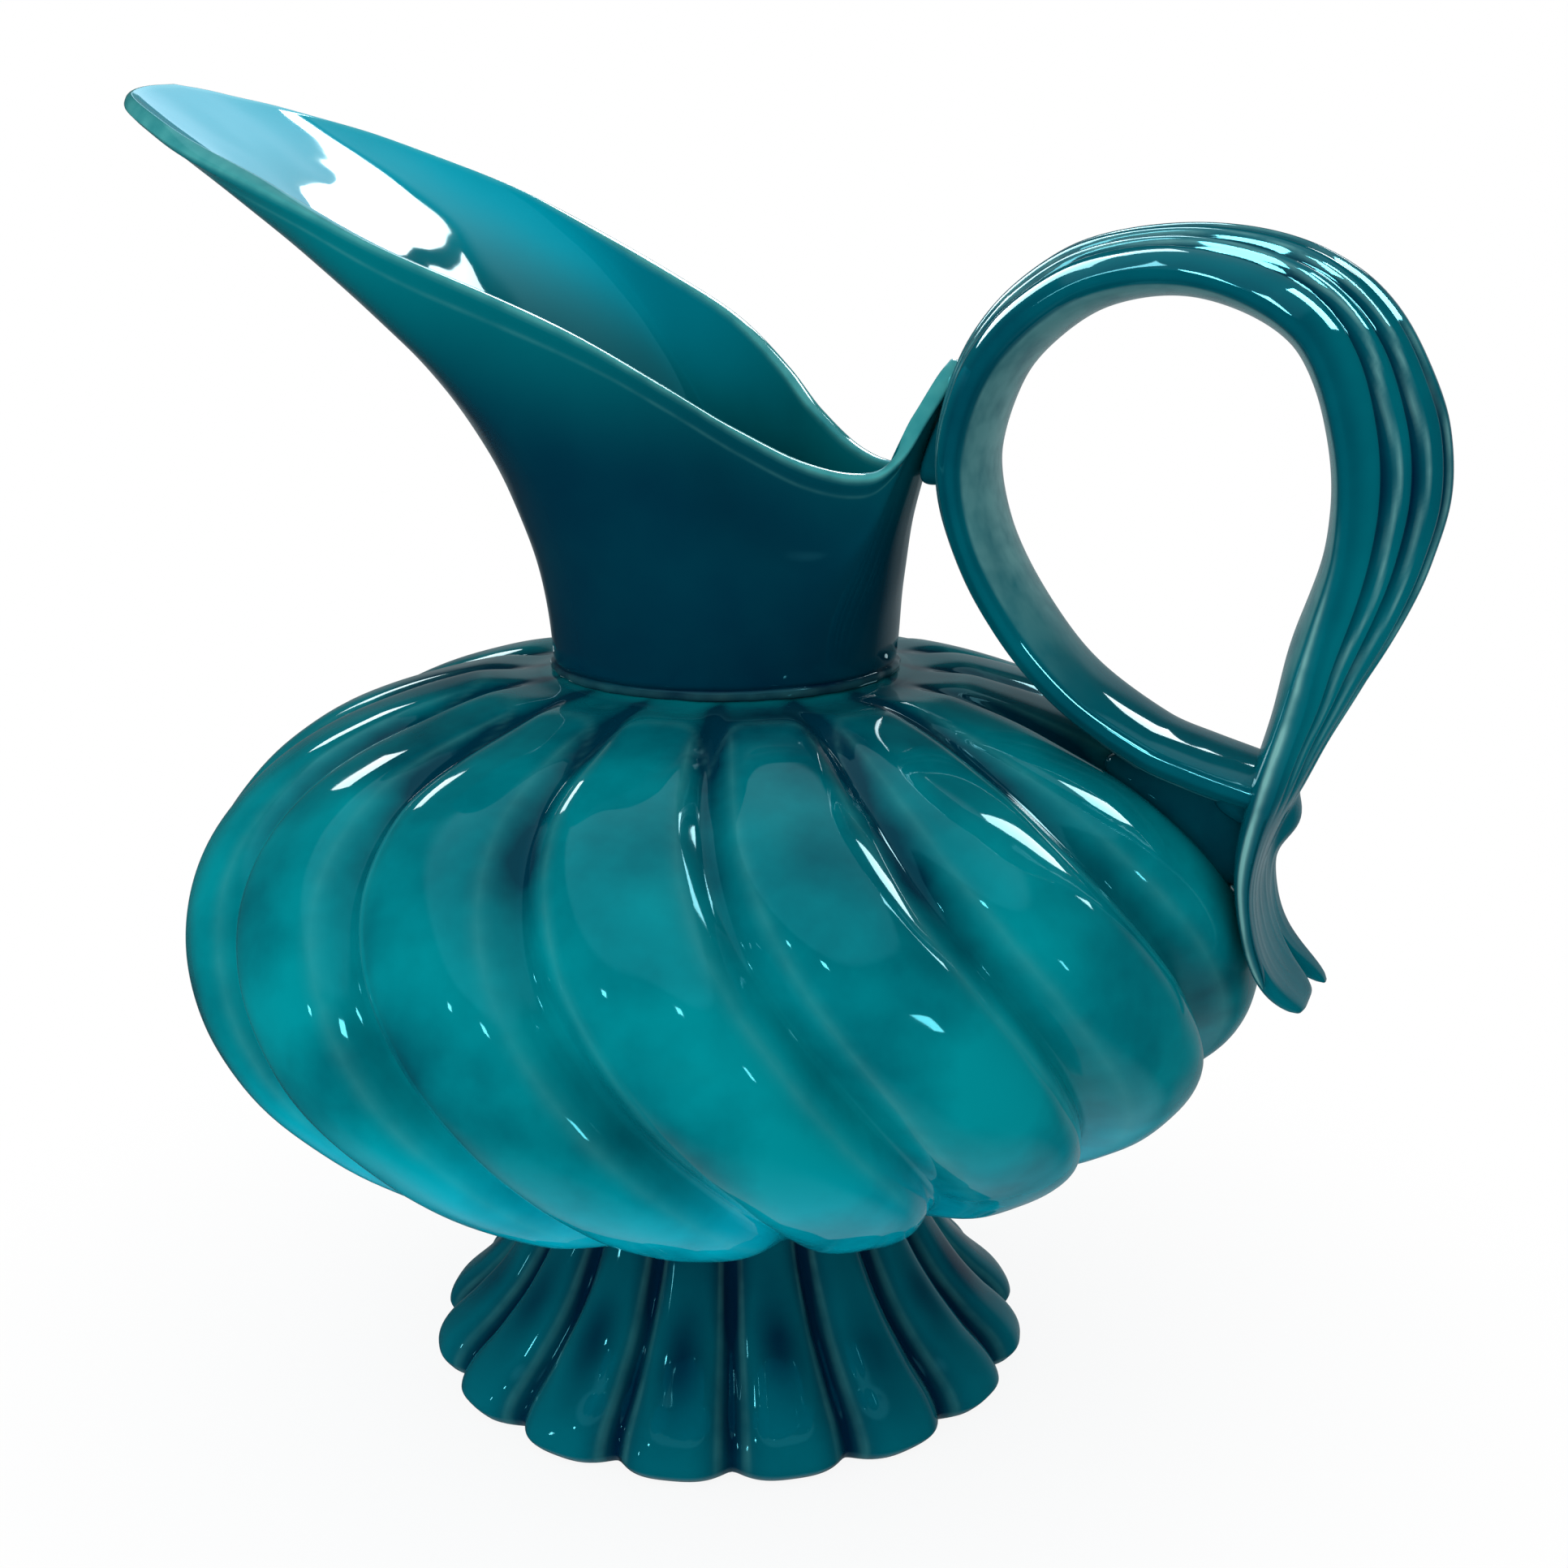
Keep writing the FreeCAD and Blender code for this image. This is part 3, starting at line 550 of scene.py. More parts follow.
# %% [markdown]
# ## The handle
# The handle is one pulled strap of clay. It starts on the shoulder, loops over, comes down
# outside its own start and ends in a split tail. It is a section carried along a line: the
# middle line is a table in shares of the loop's size, and the section has rounded edges, a
# low crown inside and a higher one outside, with grooves along it that leave soft bands.

# %% The strap's middle line
LOOP_WIDTH, LOOP_HEIGHT = 76.0, 100.0
LOOP_CENTRE = (92.42, 195.58)
SMALL_STEP = 0.002
# shares of the loop's width and height, from its centre
STRAP_LINE = [
    (0.312, -0.520), (0.150, -0.484), (0.012, -0.445), (-0.190, -0.345), (-0.354, -0.206),
    (-0.470, -0.040), (-0.500, 0.129), (-0.407, 0.318), (-0.184, 0.452), (0.10, 0.475),
    (0.368, 0.380), (0.480, 0.190), (0.496, -0.029), (0.418, -0.271), (0.345, -0.481),
    (0.302, -0.660), (0.326, -0.790), (0.392, -0.888), (0.512, -0.963)]
line = np.array(STRAP_LINE) * [LOOP_WIDTH, LOOP_HEIGHT]
runs = np.concatenate([[0], np.cumsum(np.linalg.norm(np.diff(line, axis=0), axis=1))])
strap_table = np.column_stack([runs / runs[-1], line])
print("the strap is about", round(runs[-1]), "mm long")


def strap_frame(place):
    """Middle point and outward direction of the strap at a share of its length."""
    ahead = along(strap_table, np.minimum(place + SMALL_STEP, 1)) - along(
        strap_table, np.maximum(place - SMALL_STEP, 0))
    outward = np.stack([-ahead[..., 1], 0 * ahead[..., 0], ahead[..., 0]], -1)
    outward = outward / np.linalg.norm(outward, axis=-1, keepdims=True)
    middle = along(strap_table, place)
    middle = np.stack([LOOP_CENTRE[0] + middle[..., 0], 0 * place,
                       LOOP_CENTRE[1] + middle[..., 1]], -1)
    return middle, outward


# %% How the strap's section changes along it
STRAP_WIDTH, STRAP_EDGE, STRAP_CROWN, INNER_CROWN = 38.0, 6.0, 15.0, 2.0
WIDTH_ALONG = [(0.0, 0.763), (0.2, 0.868), (0.4, 0.947), (0.55, 1.0), (0.7, 0.9), (0.8, 0.84),
               (0.87, 0.84), (0.92, 0.93), (0.96, 1.02), (1.0, 1.0)]
EDGE_ALONG = [(0.0, 1.0), (0.68, 1.0), (0.76, 1.25), (0.83, 1.3), (0.9, 1.0), (0.96, 0.85),
              (1.0, 0.8)]
CROWN_ALONG = [(0.0, 0.22), (0.2, 0.22), (0.3, 0.27), (0.4, 0.36), (0.47, 0.38), (0.55, 0.66),
               (0.64, 0.98), (0.72, 0.68), (0.8, 0.30), (0.84, 0.16), (0.89, -0.02),
               (0.94, -0.08), (1.0, -0.06)]
widths = STRAP_WIDTH * along(WIDTH_ALONG, np.linspace(0, 1, 5))
print("the strap's width at five places is", widths.round(1), "mm")

# %% Grooves along the strap
GROOVES = [0.18, 0.51, 0.75]
GROOVE_DEPTH, GROOVE_WIDTH = 1.5, 0.05
GROOVES_ALONG = [(0.0, 0.4), (0.15, 1.0), (0.72, 1.0), (0.8, 0.7), (0.86, 0.0), (1.0, 0.0)]
BAND_SWELL = 0.55


def along_grooves(row, share, width, aside=0.0):
    """Bell curves across the strap, one at each groove. Over the top of the loop the grooves
    draw in towards the middle, and the near band is wider there."""
    drawn_in = 1 - 0.18 * bump(row, 0.45, 0.14)
    return sum(bump(np.abs(share), at * drawn_in + aside, width) for at in GROOVES)


print("the strap has", 2 * len(GROOVES), "grooves, up to", GROOVE_DEPTH, "mm deep")

# %% The split tail
TAIL_START, TIP_START, TIP_LENGTH = 0.88, 0.975, 0.0256
TAIL_SHIFT, FAR_LOBE_STEP = 2.0, 1.2
CURL_OUT, CURL_ASIDE = 3.4, 2.2


def tail_end(share):
    """How far the tail reaches for a share across it: two round lobes with a cleft between
    them. Each lobe is (1 - (distance from its middle / half its width)^n)^(1/2)."""
    near = np.sqrt(np.clip(1 - (np.clip(np.abs(share + 0.25), 0, 0.76) / 0.765) ** 5, 0, 1))
    far = np.sqrt(np.clip(1 - (np.clip(np.abs(share - 0.79), 0, 0.29) / 0.295) ** 3.5, 0, 1))
    return np.maximum(np.maximum(0.91 * near, 0.98 * far), 0.66)


print("the tail reaches, from its near edge to its far one,",
      tail_end(np.linspace(-1, 1, 9)).round(2))


# %% The strap's surface
EDGE_ROUNDNESS, OUTER_ROUNDNESS, INNER_ROUNDNESS = 0.9, 0.92, 0.55
EDGE_TURN = 0.62


def strap_surface(row, turn):
    """Section of the strap at a row from 0 to 1 and a turn round it in radians. It is lifted
    off the middle line by half the edge's thickness plus the crown times 1 - share^2, less
    the grooves. Beyond the crossing both edges turn outwards, and the far one curls."""
    cosine, sine = np.cos(turn), np.sin(turn)
    share = np.sign(cosine) * np.abs(cosine) ** EDGE_ROUNDNESS
    place = np.where(row > TAIL_START, TAIL_START + (row - TAIL_START) * tail_end(share), row)
    width = STRAP_WIDTH * along(WIDTH_ALONG, place)
    edge = STRAP_EDGE * along(EDGE_ALONG, place)
    crown = STRAP_CROWN * along(CROWN_ALONG, place)
    inner_crown = INNER_CROWN * (1 - smooth(0.74, 0.82, place))
    bulge = np.abs(sine) ** np.where(sine > 0, OUTER_ROUNDNESS, INNER_ROUNDNESS)
    turned_out = EDGE_TURN * smooth(0.70, 0.80, place)
    sunk = GROOVE_DEPTH * along_grooves(row, share, GROOVE_WIDTH)
    sunk = (sunk - BAND_SWELL * bump(np.abs(share), 0.83, 0.12)) * along(GROOVES_ALONG, place)
    outer_lift = (edge / 2 * (turned_out + (1 - turned_out) * bulge)
                  + bulge * crown * (1 - share**2) - sunk)
    inner_lift = (edge / 2 * (turned_out * (1 - bulge) - bulge)
                  - bulge * inner_crown * (1 - share**2))
    round_tip = np.sqrt(1 - np.clip((row - TIP_START) / TIP_LENGTH, 0, 1) ** 2)
    lift = np.where(sine > 0, outer_lift, inner_lift) * round_tip
    lift = lift - FAR_LOBE_STEP * smooth(0.90, 0.96, place) * smooth(0.40, 0.56, share)
    lift = lift + CURL_OUT * bump(place, 0.874, 0.020) * smooth(0.25, 0.75, share)
    side = share * width / 2 - TAIL_SHIFT * smooth(0.78, 0.9, place)
    side = side + CURL_ASIDE * bump(place, 0.868, 0.012) * smooth(0.5, 0.9, share)
    middle, outward = strap_frame(place)
    return middle + outward * lift[..., None] + side[..., None] * [0, 1, 0], share


# %% The strap's points
STRAP_ROWS, STRAP_COLUMNS = 330, 224
strap_rows = np.linspace(0, 1, STRAP_ROWS)[:, None]
strap_turns = (2 * np.pi * np.arange(STRAP_COLUMNS) / STRAP_COLUMNS)[None]
strap_rows, strap_turns = np.broadcast_arrays(strap_rows, strap_turns)
strap_points, share = strap_surface(strap_rows, strap_turns)
strap_normals = directions(strap_points)
from_middle = strap_points - strap_points.mean(1, keepdims=True)
strap_sign = np.sign(np.sum((strap_normals * from_middle)[STRAP_ROWS // 3]))
strap_points = hand_made(strap_points, strap_normals * strap_sign)
print("rows and columns of the strap", strap_points.shape[:2])

# %% The glaze's thickness on the strap, with painted shade on its inner face
outside_face = (np.sin(strap_turns) > 0) * 1.0
grooved = along(GROOVES_ALONG, strap_rows) * outside_face
pool_and_shade = 0.2 + 0.8 * along_grooves(strap_rows, share, GROOVE_WIDTH) * grooved
pool_and_shade = pool_and_shade + 0.30 * bump(np.abs(share), 0.97, 0.07) + 0.10 * np.sin(strap_rows * 23)
wobble = 0.012 * np.sin(strap_rows * 90) + 0.008 * np.sin(strap_rows * 37 + 1)
beside_grooves = along_grooves(strap_rows, np.abs(share) + wobble, 0.013, -0.065) * grooved
corner = bump(np.sin(strap_turns), -0.20, 0.09) * smooth(0.6, 0.9, -np.cos(strap_turns))
tail_edge = corner * smooth(0.66, 0.80, strap_rows)
inner_face = (1 - smooth(0.86, 0.93, np.abs(share))) * (np.sin(strap_turns) < 0)
inner_face = inner_face * smooth(0.10, 0.24, strap_rows) * (1 - smooth(0.74, 0.82, strap_rows))
# painted shade: the pale thin glaze of the inner face is dimmed towards its near edge
inner_face = inner_face * (0.50 + 0.45 * smooth(-0.8, 0.4, share))
thin = np.maximum(np.maximum(0.55 * beside_grooves, 1.5 * tail_edge), inner_face)
print("glaze on the strap: pools up to", (0.9 * pool_and_shade).max().round(2), "and thins by",
      thin.max().round(2))

# %% The handle's mesh
end_quads, end_tris = cap_faces((STRAP_ROWS - 1) * STRAP_COLUMNS, STRAP_COLUMNS, False)
start_quads, start_tris = cap_faces(0, STRAP_COLUMNS, True)
handle = make_piece("handle", ["handle_strap"], strap_points,
                    [grid_faces(STRAP_ROWS, STRAP_COLUMNS, False), end_quads, end_tris,
                     start_quads, start_tris], {"pool_and_shade": pool_and_shade * 0.9, "thin": thin})

# %% [markdown]
# ## Slip and luting clay
# Liquid clay squeezes out where the pieces are glued. Round the neck's foot it is a low
# uneven bead, and the same under the belly. The strap is bedded on three lumps of softer
# clay. A ring is a small circle carried round the axis, whose size wavers. A lump is an
# outline in the middle plane, drawn together to both sides like a pillow.

# %% Beads of slip
BEAD_ROWS, BEAD_COLUMNS = 24, 360
BEAD_RIPPLES = (5, 9, 14, 23, 37)
FOOT_TOP_RADIUS = 40.4


def bead(name, radius, height, thick_and_shaded, tall, nodes, seed):
    """Circle of half width thick and half height tall round the axis, a little uneven."""
    turn = (2 * np.pi * np.arange(BEAD_COLUMNS) / BEAD_COLUMNS)[None]
    tube = (2 * np.pi * np.arange(BEAD_ROWS) / BEAD_ROWS)[:, None]
    draw = np.random.default_rng(seed)
    swell = 1.0 + 0 * turn
    for ripples in BEAD_RIPPLES:
        swell = swell + 0.05 * np.sin(ripples * turn + draw.uniform(0, 2 * np.pi))
    size = radius + thick_and_shaded * np.cos(tube) * swell
    level = height + tall * np.sin(tube) * (0.7 + 0.3 * swell)
    points = around(size, np.degrees(turn) + 0 * tube, level)
    pool_and_shade = np.full(points.shape[:2], 0.9)
    thin = 0.5 * bump(np.cos(tube), 1, 0.25) * (swell - 0.6)
    faces = [grid_faces(BEAD_ROWS, BEAD_COLUMNS, True)]
    return make_piece(name, nodes, points, faces, {"pool_and_shade": pool_and_shade, "thin": thin})


neck_bead = bead("neck_slip_bead", NECK_RADIUS - 0.8, BELLY_TOP + 0.2, 1.7, 1.3,
                 ["neck_slip_ring"], 5)
foot_bead = bead("foot_slip_bead", FOOT_TOP_RADIUS - 0.6, FOOT_HEIGHT + 0.6, 1.6, 1.3,
                 ["foot_slip_ring"], 6)


# %% Lumps of luting clay
LUMP_ROWS, LUMP_COLUMNS = 25, 64
CORNER_BLEND = 0.55


def lump(name, outline, half_width, node):
    """Closed outline in the middle plane, its corners blended by bell-shaped weights, and
    drawn in to both sides by (1 - |v|^3)^(1/3)."""
    corners = np.array(outline, float)
    turn = np.linspace(0, len(corners), LUMP_COLUMNS, endpoint=False)[:, None]
    k = np.arange(-2, len(corners) + 2)
    weight = np.exp(-((turn - k[None]) ** 2) / CORNER_BLEND)
    weight = weight / weight.sum(1, keepdims=True)
    smooth_line = weight @ corners[k % len(corners)]
    centre = smooth_line.mean(0)
    side = np.linspace(-1, 1, LUMP_ROWS + 2)[1:-1, None]
    shrink = (1 - np.abs(side) ** 3) ** (1 / 3)
    across = centre + (smooth_line - centre)[None] * shrink[..., None]
    points = np.stack([across[..., 0], half_width * side + 0 * across[..., 0],
                       across[..., 1]], -1)
    first = LUMP_ROWS * LUMP_COLUMNS
    last = first - LUMP_COLUMNS
    k = np.arange(LUMP_COLUMNS)
    k_next = (k + 1) % LUMP_COLUMNS
    start = np.stack([k_next, k, np.full(LUMP_COLUMNS, first)], 1)
    finish = np.stack([last + k, last + k_next, np.full(LUMP_COLUMNS, first + 1)], 1)
    ends = np.array([[centre[0], -half_width, centre[1]], [centre[0], half_width, centre[1]]])
    points = np.concatenate([points.reshape(-1, 3), ends])
    return make_piece(name, [node], points,
                      [grid_faces(LUMP_ROWS, LUMP_COLUMNS, False), start, finish],
                      {"pool_and_shade": np.full(len(points), 0.5), "thin": np.zeros(len(points))})


neck_lump = lump("neck_luting_clay", [(41.5, 199), (50.5, 221), (55.5, 219), (54.0, 201)], 7.0,
                 "handle_slip_neck")
crossing_lump = lump("crossing_luting_clay", [(108, 147), (106, 140), (117, 134), (118, 146)],
                     11.0, "handle_slip_crossing")
shoulder_lump = lump("shoulder_luting_clay",
                     [(80, 148), (104, 150), (116, 140), (117, 122), (110, 122), (92, 136)],
                     8.5, "handle_slip_shoulder")

# %% [markdown]
# ## The glaze
# A turquoise glaze is glass with a little copper in it. Where it lies thick, in grooves and
# at the foot of the neck, it looks navy. Where it breaks thin over an edge it turns a milky
# mint. Between the two it clouds softly. The same navy is also painted shade: over the upper
# belly and under it, on the top of the foot and down one side of each lobe. The strap's pale
# inner face is dimmed towards its near edge as painted shade. A brighter blue is painted
# light: bounce from the table on the underside of the belly and a sky reflection inside the
# spout. It could be painted on the mesh, but a group that mixes four colours is easier to
# steer. It reads the points' attributes pool_and_shade, thin and low and layers of noise on
# Object coordinates, and puts out a colour, a roughness and a height. The shader itself
# stays in each material.

# %% Helpers for node trees
def feed(tree, socket, value):
    """Link the value to the socket if it is another node's output, or else set it."""
    if isinstance(value, bpy.types.NodeSocket):
        tree.links.new(value, socket)
    else:
        socket.default_value = value


def math_node(tree, operation, *values, clamp=False):
    """Output of a math node of the values."""
    node = tree.nodes.new("ShaderNodeMath")
    node.operation, node.use_clamp = operation, clamp
    for socket, value in zip(node.inputs, values):
        feed(tree, socket, value)
    return node.outputs[0]


def noise(tree, scale, detail):
    """Output of a noise texture on Object coordinates."""
    place = tree.nodes.new("ShaderNodeTexCoord")
    node = tree.nodes.new("ShaderNodeTexNoise")
    feed(tree, node.inputs["Vector"], place.outputs["Object"])
    feed(tree, node.inputs["Scale"], scale)
    feed(tree, node.inputs["Detail"], detail)
    return node.outputs["Fac"]


def mixed(tree, share, low, high):
    """Colour that goes from low to high with the share."""
    node = tree.nodes.new("ShaderNodeMix")
    node.data_type = "RGBA"
    feed(tree, node.inputs["Factor"], share)
    feed(tree, node.inputs["A"], low)
    feed(tree, node.inputs["B"], high)
    return node.outputs["Result"]


def attribute(tree, name):
    """Output of a named attribute of the points."""
    node = tree.nodes.new("ShaderNodeAttribute")
    node.attribute_name = name
    return node.outputs["Fac"]


# %% What goes into the glaze group and out of it
# the pooled colour also paints shade, and the painted light colour paints bounce light and a sky
# reflection
GROUP_COLOURS = [
    ("Thin Colour", (0.30, 0.75, 0.68, 1)), ("Body Colour", (0.0, 0.20, 0.22, 1)),
    ("Painted Light Colour", (0.0, 0.47, 0.62, 1)), ("Pooled And Shade Colour", (0.0, 0.02, 0.05, 1))]
GROUP_VALUES = [("Cloud Size", 30.0), ("Cloud Strength", 0.25), ("Thin Amount", 0.6),
                ("Pool And Shade Amount", 1.0)]
GROUP_RESULTS = [("Colour", "NodeSocketColor"), ("Roughness", "NodeSocketFloat"),
                 ("Height", "NodeSocketFloat")]


def group_sockets(face):
    """Four colours and four values go in, and a colour, a roughness and a height come out."""
    for kind, rows in (("NodeSocketColor", GROUP_COLOURS), ("NodeSocketFloat", GROUP_VALUES)):
        for name, value in rows:
            socket = face.new_socket(name=name, in_out="INPUT", socket_type=kind)
            socket.default_value = value
    for name, kind in GROUP_RESULTS:
        face.new_socket(name=name, in_out="OUTPUT", socket_type=kind)


# %% The glaze group
CLOUD_GAIN, STREAK_GAIN = 3.0, 1.6
STREAK_SCALE, ROUGH_SCALE, SWELL_SCALE = 160.0, 45.0, 55.0
LEAST_ROUGHNESS, ROUGHNESS_SPAN = 0.02, 0.05


def build_glaze_group():
    """Node group: four colours mixed by how thick the glaze lies, by painted shade and by
    painted light, with clouds.
    """
    tree = bpy.data.node_groups.new("glaze_thickness", "ShaderNodeTree")
    group_sockets(tree.interface)
    given = tree.nodes.new("NodeGroupInput").outputs
    result = tree.nodes.new("NodeGroupOutput").inputs
    clouds = math_node(tree, "SUBTRACT", noise(tree, given["Cloud Size"], 5.0), 0.5)
    clouds = math_node(tree, "MULTIPLY", clouds, given["Cloud Strength"])
    clouds = math_node(tree, "MULTIPLY", clouds, CLOUD_GAIN)
    # glaze thickness and painted shade both come from the pool_and_shade attribute
    thick_and_shaded = math_node(tree, "MULTIPLY", attribute(tree, "pool_and_shade"), given["Pool And Shade Amount"])
    thick_and_shaded = math_node(tree, "ADD", thick_and_shaded, clouds, clamp=True)
    streaks = noise(tree, STREAK_SCALE, 2.0)
    streaks = math_node(tree, "MULTIPLY", streaks, STREAK_GAIN, clamp=True)
    break_line = math_node(tree, "MULTIPLY", attribute(tree, "thin"), given["Thin Amount"])
    break_line = math_node(tree, "MULTIPLY", break_line, streaks, clamp=True)
    # painted light: low mixes in the brighter painted light colour
    colour = mixed(tree, attribute(tree, "low"), given["Body Colour"], given["Painted Light Colour"])
    colour = mixed(tree, thick_and_shaded, colour, given["Pooled And Shade Colour"])
    colour = mixed(tree, break_line, colour, given["Thin Colour"])
    rough = noise(tree, ROUGH_SCALE, 2.0)
    rough = math_node(tree, "MULTIPLY_ADD", rough, ROUGHNESS_SPAN, LEAST_ROUGHNESS)
    feed(tree, result["Colour"], colour)
    feed(tree, result["Roughness"], rough)
    feed(tree, result["Height"], noise(tree, SWELL_SCALE, 1.0))
    return tree


glaze_group = build_glaze_group()
sockets = [item.name for item in glaze_group.interface.items_tree if item.in_out == "INPUT"]
print("what goes into the glaze group:", sockets)


# %% A glaze material
GLASS_INDEX = 1.5
GLOSS_TINT = (0.16, 0.85, 1.0, 1)


def glaze(name, body, pooled_and_shade, thin, cloud_size, cloud_strength, thin_amount, pool_and_shade_amount):
    """Glossy glaze over clay, coloured by the glaze group."""
    material = bpy.data.materials.new(name)
    material.use_nodes = True
    tree = material.node_tree
    group = tree.nodes.new("ShaderNodeGroup")
    group.node_tree = glaze_group
    for key, value in (("Body Colour", (*body, 1)), ("Pooled And Shade Colour", (*pooled_and_shade, 1)),
                       ("Thin Colour", (*thin, 1)), ("Cloud Size", cloud_size),
                       ("Cloud Strength", cloud_strength), ("Thin Amount", thin_amount),
                       ("Pool And Shade Amount", pool_and_shade_amount)):
        feed(tree, group.inputs[key], value)
    swell = tree.nodes.new("ShaderNodeBump")
    for key, value in (("Strength", 0.10), ("Distance", 0.002),
                       ("Height", group.outputs["Height"])):
        feed(tree, swell.inputs[key], value)
    shader = tree.nodes["Principled BSDF"]
    for key, value in (("IOR", GLASS_INDEX), ("Specular IOR Level", 0.5),
                       ("Specular Tint", GLOSS_TINT), ("Base Color", group.outputs["Colour"]),
                       ("Roughness", group.outputs["Roughness"]),
                       ("Normal", swell.outputs["Normal"])):
        feed(tree, shader.inputs[key], value)
    return material


# %% The glaze on each piece
MINT, DULL_MINT = (0.16, 0.60, 0.56), (0.19, 0.44, 0.43)
lumps_and_beads = [neck_bead, foot_bead, neck_lump, crossing_lump, shoulder_lump]
# name, pieces, body, pooled-and-shade and thin colours, cloud size and strength, thin and
# pool-and-shade amounts
GLAZES = [
    ("belly_turquoise", [belly], (0.0, 0.25, 0.285), (0.0, 0.030, 0.055), MINT,
     34.0, 0.60, 0.34, 0.95),
    ("foot_turquoise", [foot], (0.0, 0.115, 0.15), (0.0, 0.012, 0.035), MINT,
     34.0, 0.30, 0.22, 1.0),
    ("neck_turquoise", [neck], (0.0, 0.18, 0.21), (0.0, 0.012, 0.036), MINT,
     22.0, 0.10, 0.38, 1.0),
    ("handle_turquoise", [handle], (0.0, 0.135, 0.17), (0.0, 0.010, 0.034), DULL_MINT,
     28.0, 0.40, 0.95, 0.95),
    ("slip_turquoise", lumps_and_beads, (0.0, 0.11, 0.14), (0.0, 0.010, 0.030), MINT,
     60.0, 0.3, 0.35, 1.0)]
for name, pieces, *recipe in GLAZES:
    material = glaze(name, *recipe)
    for piece in pieces:
        piece.data.materials.append(material)
    print(name, "on", [piece.name for piece in pieces])

# %% [markdown]
# ## Floor, light and camera
# The photograph shows the pot on white, with a faint soft shadow. The floor is a large pale
# disc that fades to plain white away from the pot. The light is that of a room with windows:
# bright panes make the sharp white marks on the glaze, and a soft sky fills the rest. One
# picture of a room all round could do it, but a lamp for each pane, linked to the pieces
# that it marks, puts each mark in its own place. The camera was fitted to the outline of
# the pot in the photograph.

# %% More helpers for node trees
def step(tree, socket, low, high, first, last):
    """Smooth step from first to last while the socket goes from low to high."""
    node = tree.nodes.new("ShaderNodeMapRange")
    node.interpolation_type = "SMOOTHSTEP"
    for key, value in (("Value", socket), ("From Min", low), ("From Max", high),
                       ("To Min", first), ("To Max", last)):
        feed(tree, node.inputs[key], value)
    return node.outputs["Result"]


def plain(tree, kind, colour, strength=None):
    """Output of a shader node of one colour."""
    node = tree.nodes.new(kind)
    feed(tree, node.inputs["Color"], (*colour, 1))
    if strength is not None:
        feed(tree, node.inputs["Strength"], strength)
    return node.outputs[0]


def mix_shader(tree, share, first, second):
    """Shader that goes from the first to the second with the share."""
    node = tree.nodes.new("ShaderNodeMixShader")
    for socket, value in zip(node.inputs, (share, first, second)):
        feed(tree, socket, value)
    return node.outputs[0]


# %% The floor
FLOOR_RADIUS, FLOOR_POINTS = 0.5, 96
FADE_START, FADE_END, WHITE_IN_MIDDLE = 0.06, 0.24, 0.90
WHITE = (1.0, 1.0, 1.0)


def floor_material():
    """To the camera mostly white in the middle and fully white outwards, and for the rest
    of the light a pale matt surface."""
    material = bpy.data.materials.new("pale_floor")
    material.use_nodes = True
    tree = material.node_tree
    tree.nodes.clear()
    distance = tree.nodes.new("ShaderNodeVectorMath")
    distance.operation = "LENGTH"
    feed(tree, distance.inputs[0], tree.nodes.new("ShaderNodeTexCoord").outputs["Object"])
    fade = step(tree, distance.outputs["Value"], FADE_START, FADE_END, WHITE_IN_MIDDLE, 1)
    ray = tree.nodes.new("ShaderNodeLightPath").outputs
    seen = math_node(tree, "MAXIMUM", ray["Is Camera Ray"], ray["Is Glossy Ray"])
    seen = math_node(tree, "MAXIMUM", seen, ray["Is Transmission Ray"])
    matt = plain(tree, "ShaderNodeBsdfDiffuse", (0.92, 0.92, 0.92))
    glow = plain(tree, "ShaderNodeEmission", WHITE)
    surface = mix_shader(tree, math_node(tree, "MULTIPLY", seen, fade), matt, glow)
    feed(tree, tree.nodes.new("ShaderNodeOutputMaterial").inputs["Surface"], surface)
    return material


def build_floor():
    """Round disc in the plane of the table."""
    turn = 2 * np.pi * np.arange(FLOOR_POINTS) / FLOOR_POINTS
    rim = np.stack([FLOOR_RADIUS * np.cos(turn), FLOOR_RADIUS * np.sin(turn), 0 * turn], 1)
    mesh = bpy.data.meshes.new("floor")
    mesh.from_pydata(rim.tolist(), [], [list(range(FLOOR_POINTS))])
    mesh.materials.append(floor_material())
    disc = bpy.data.objects.new("floor", mesh)
    bpy.context.scene.collection.objects.link(disc)
    disc.visible_glossy = False
    disc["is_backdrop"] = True
    return disc


floor = build_floor()
print("the floor is", round(max(floor.dimensions), 2), "m across")


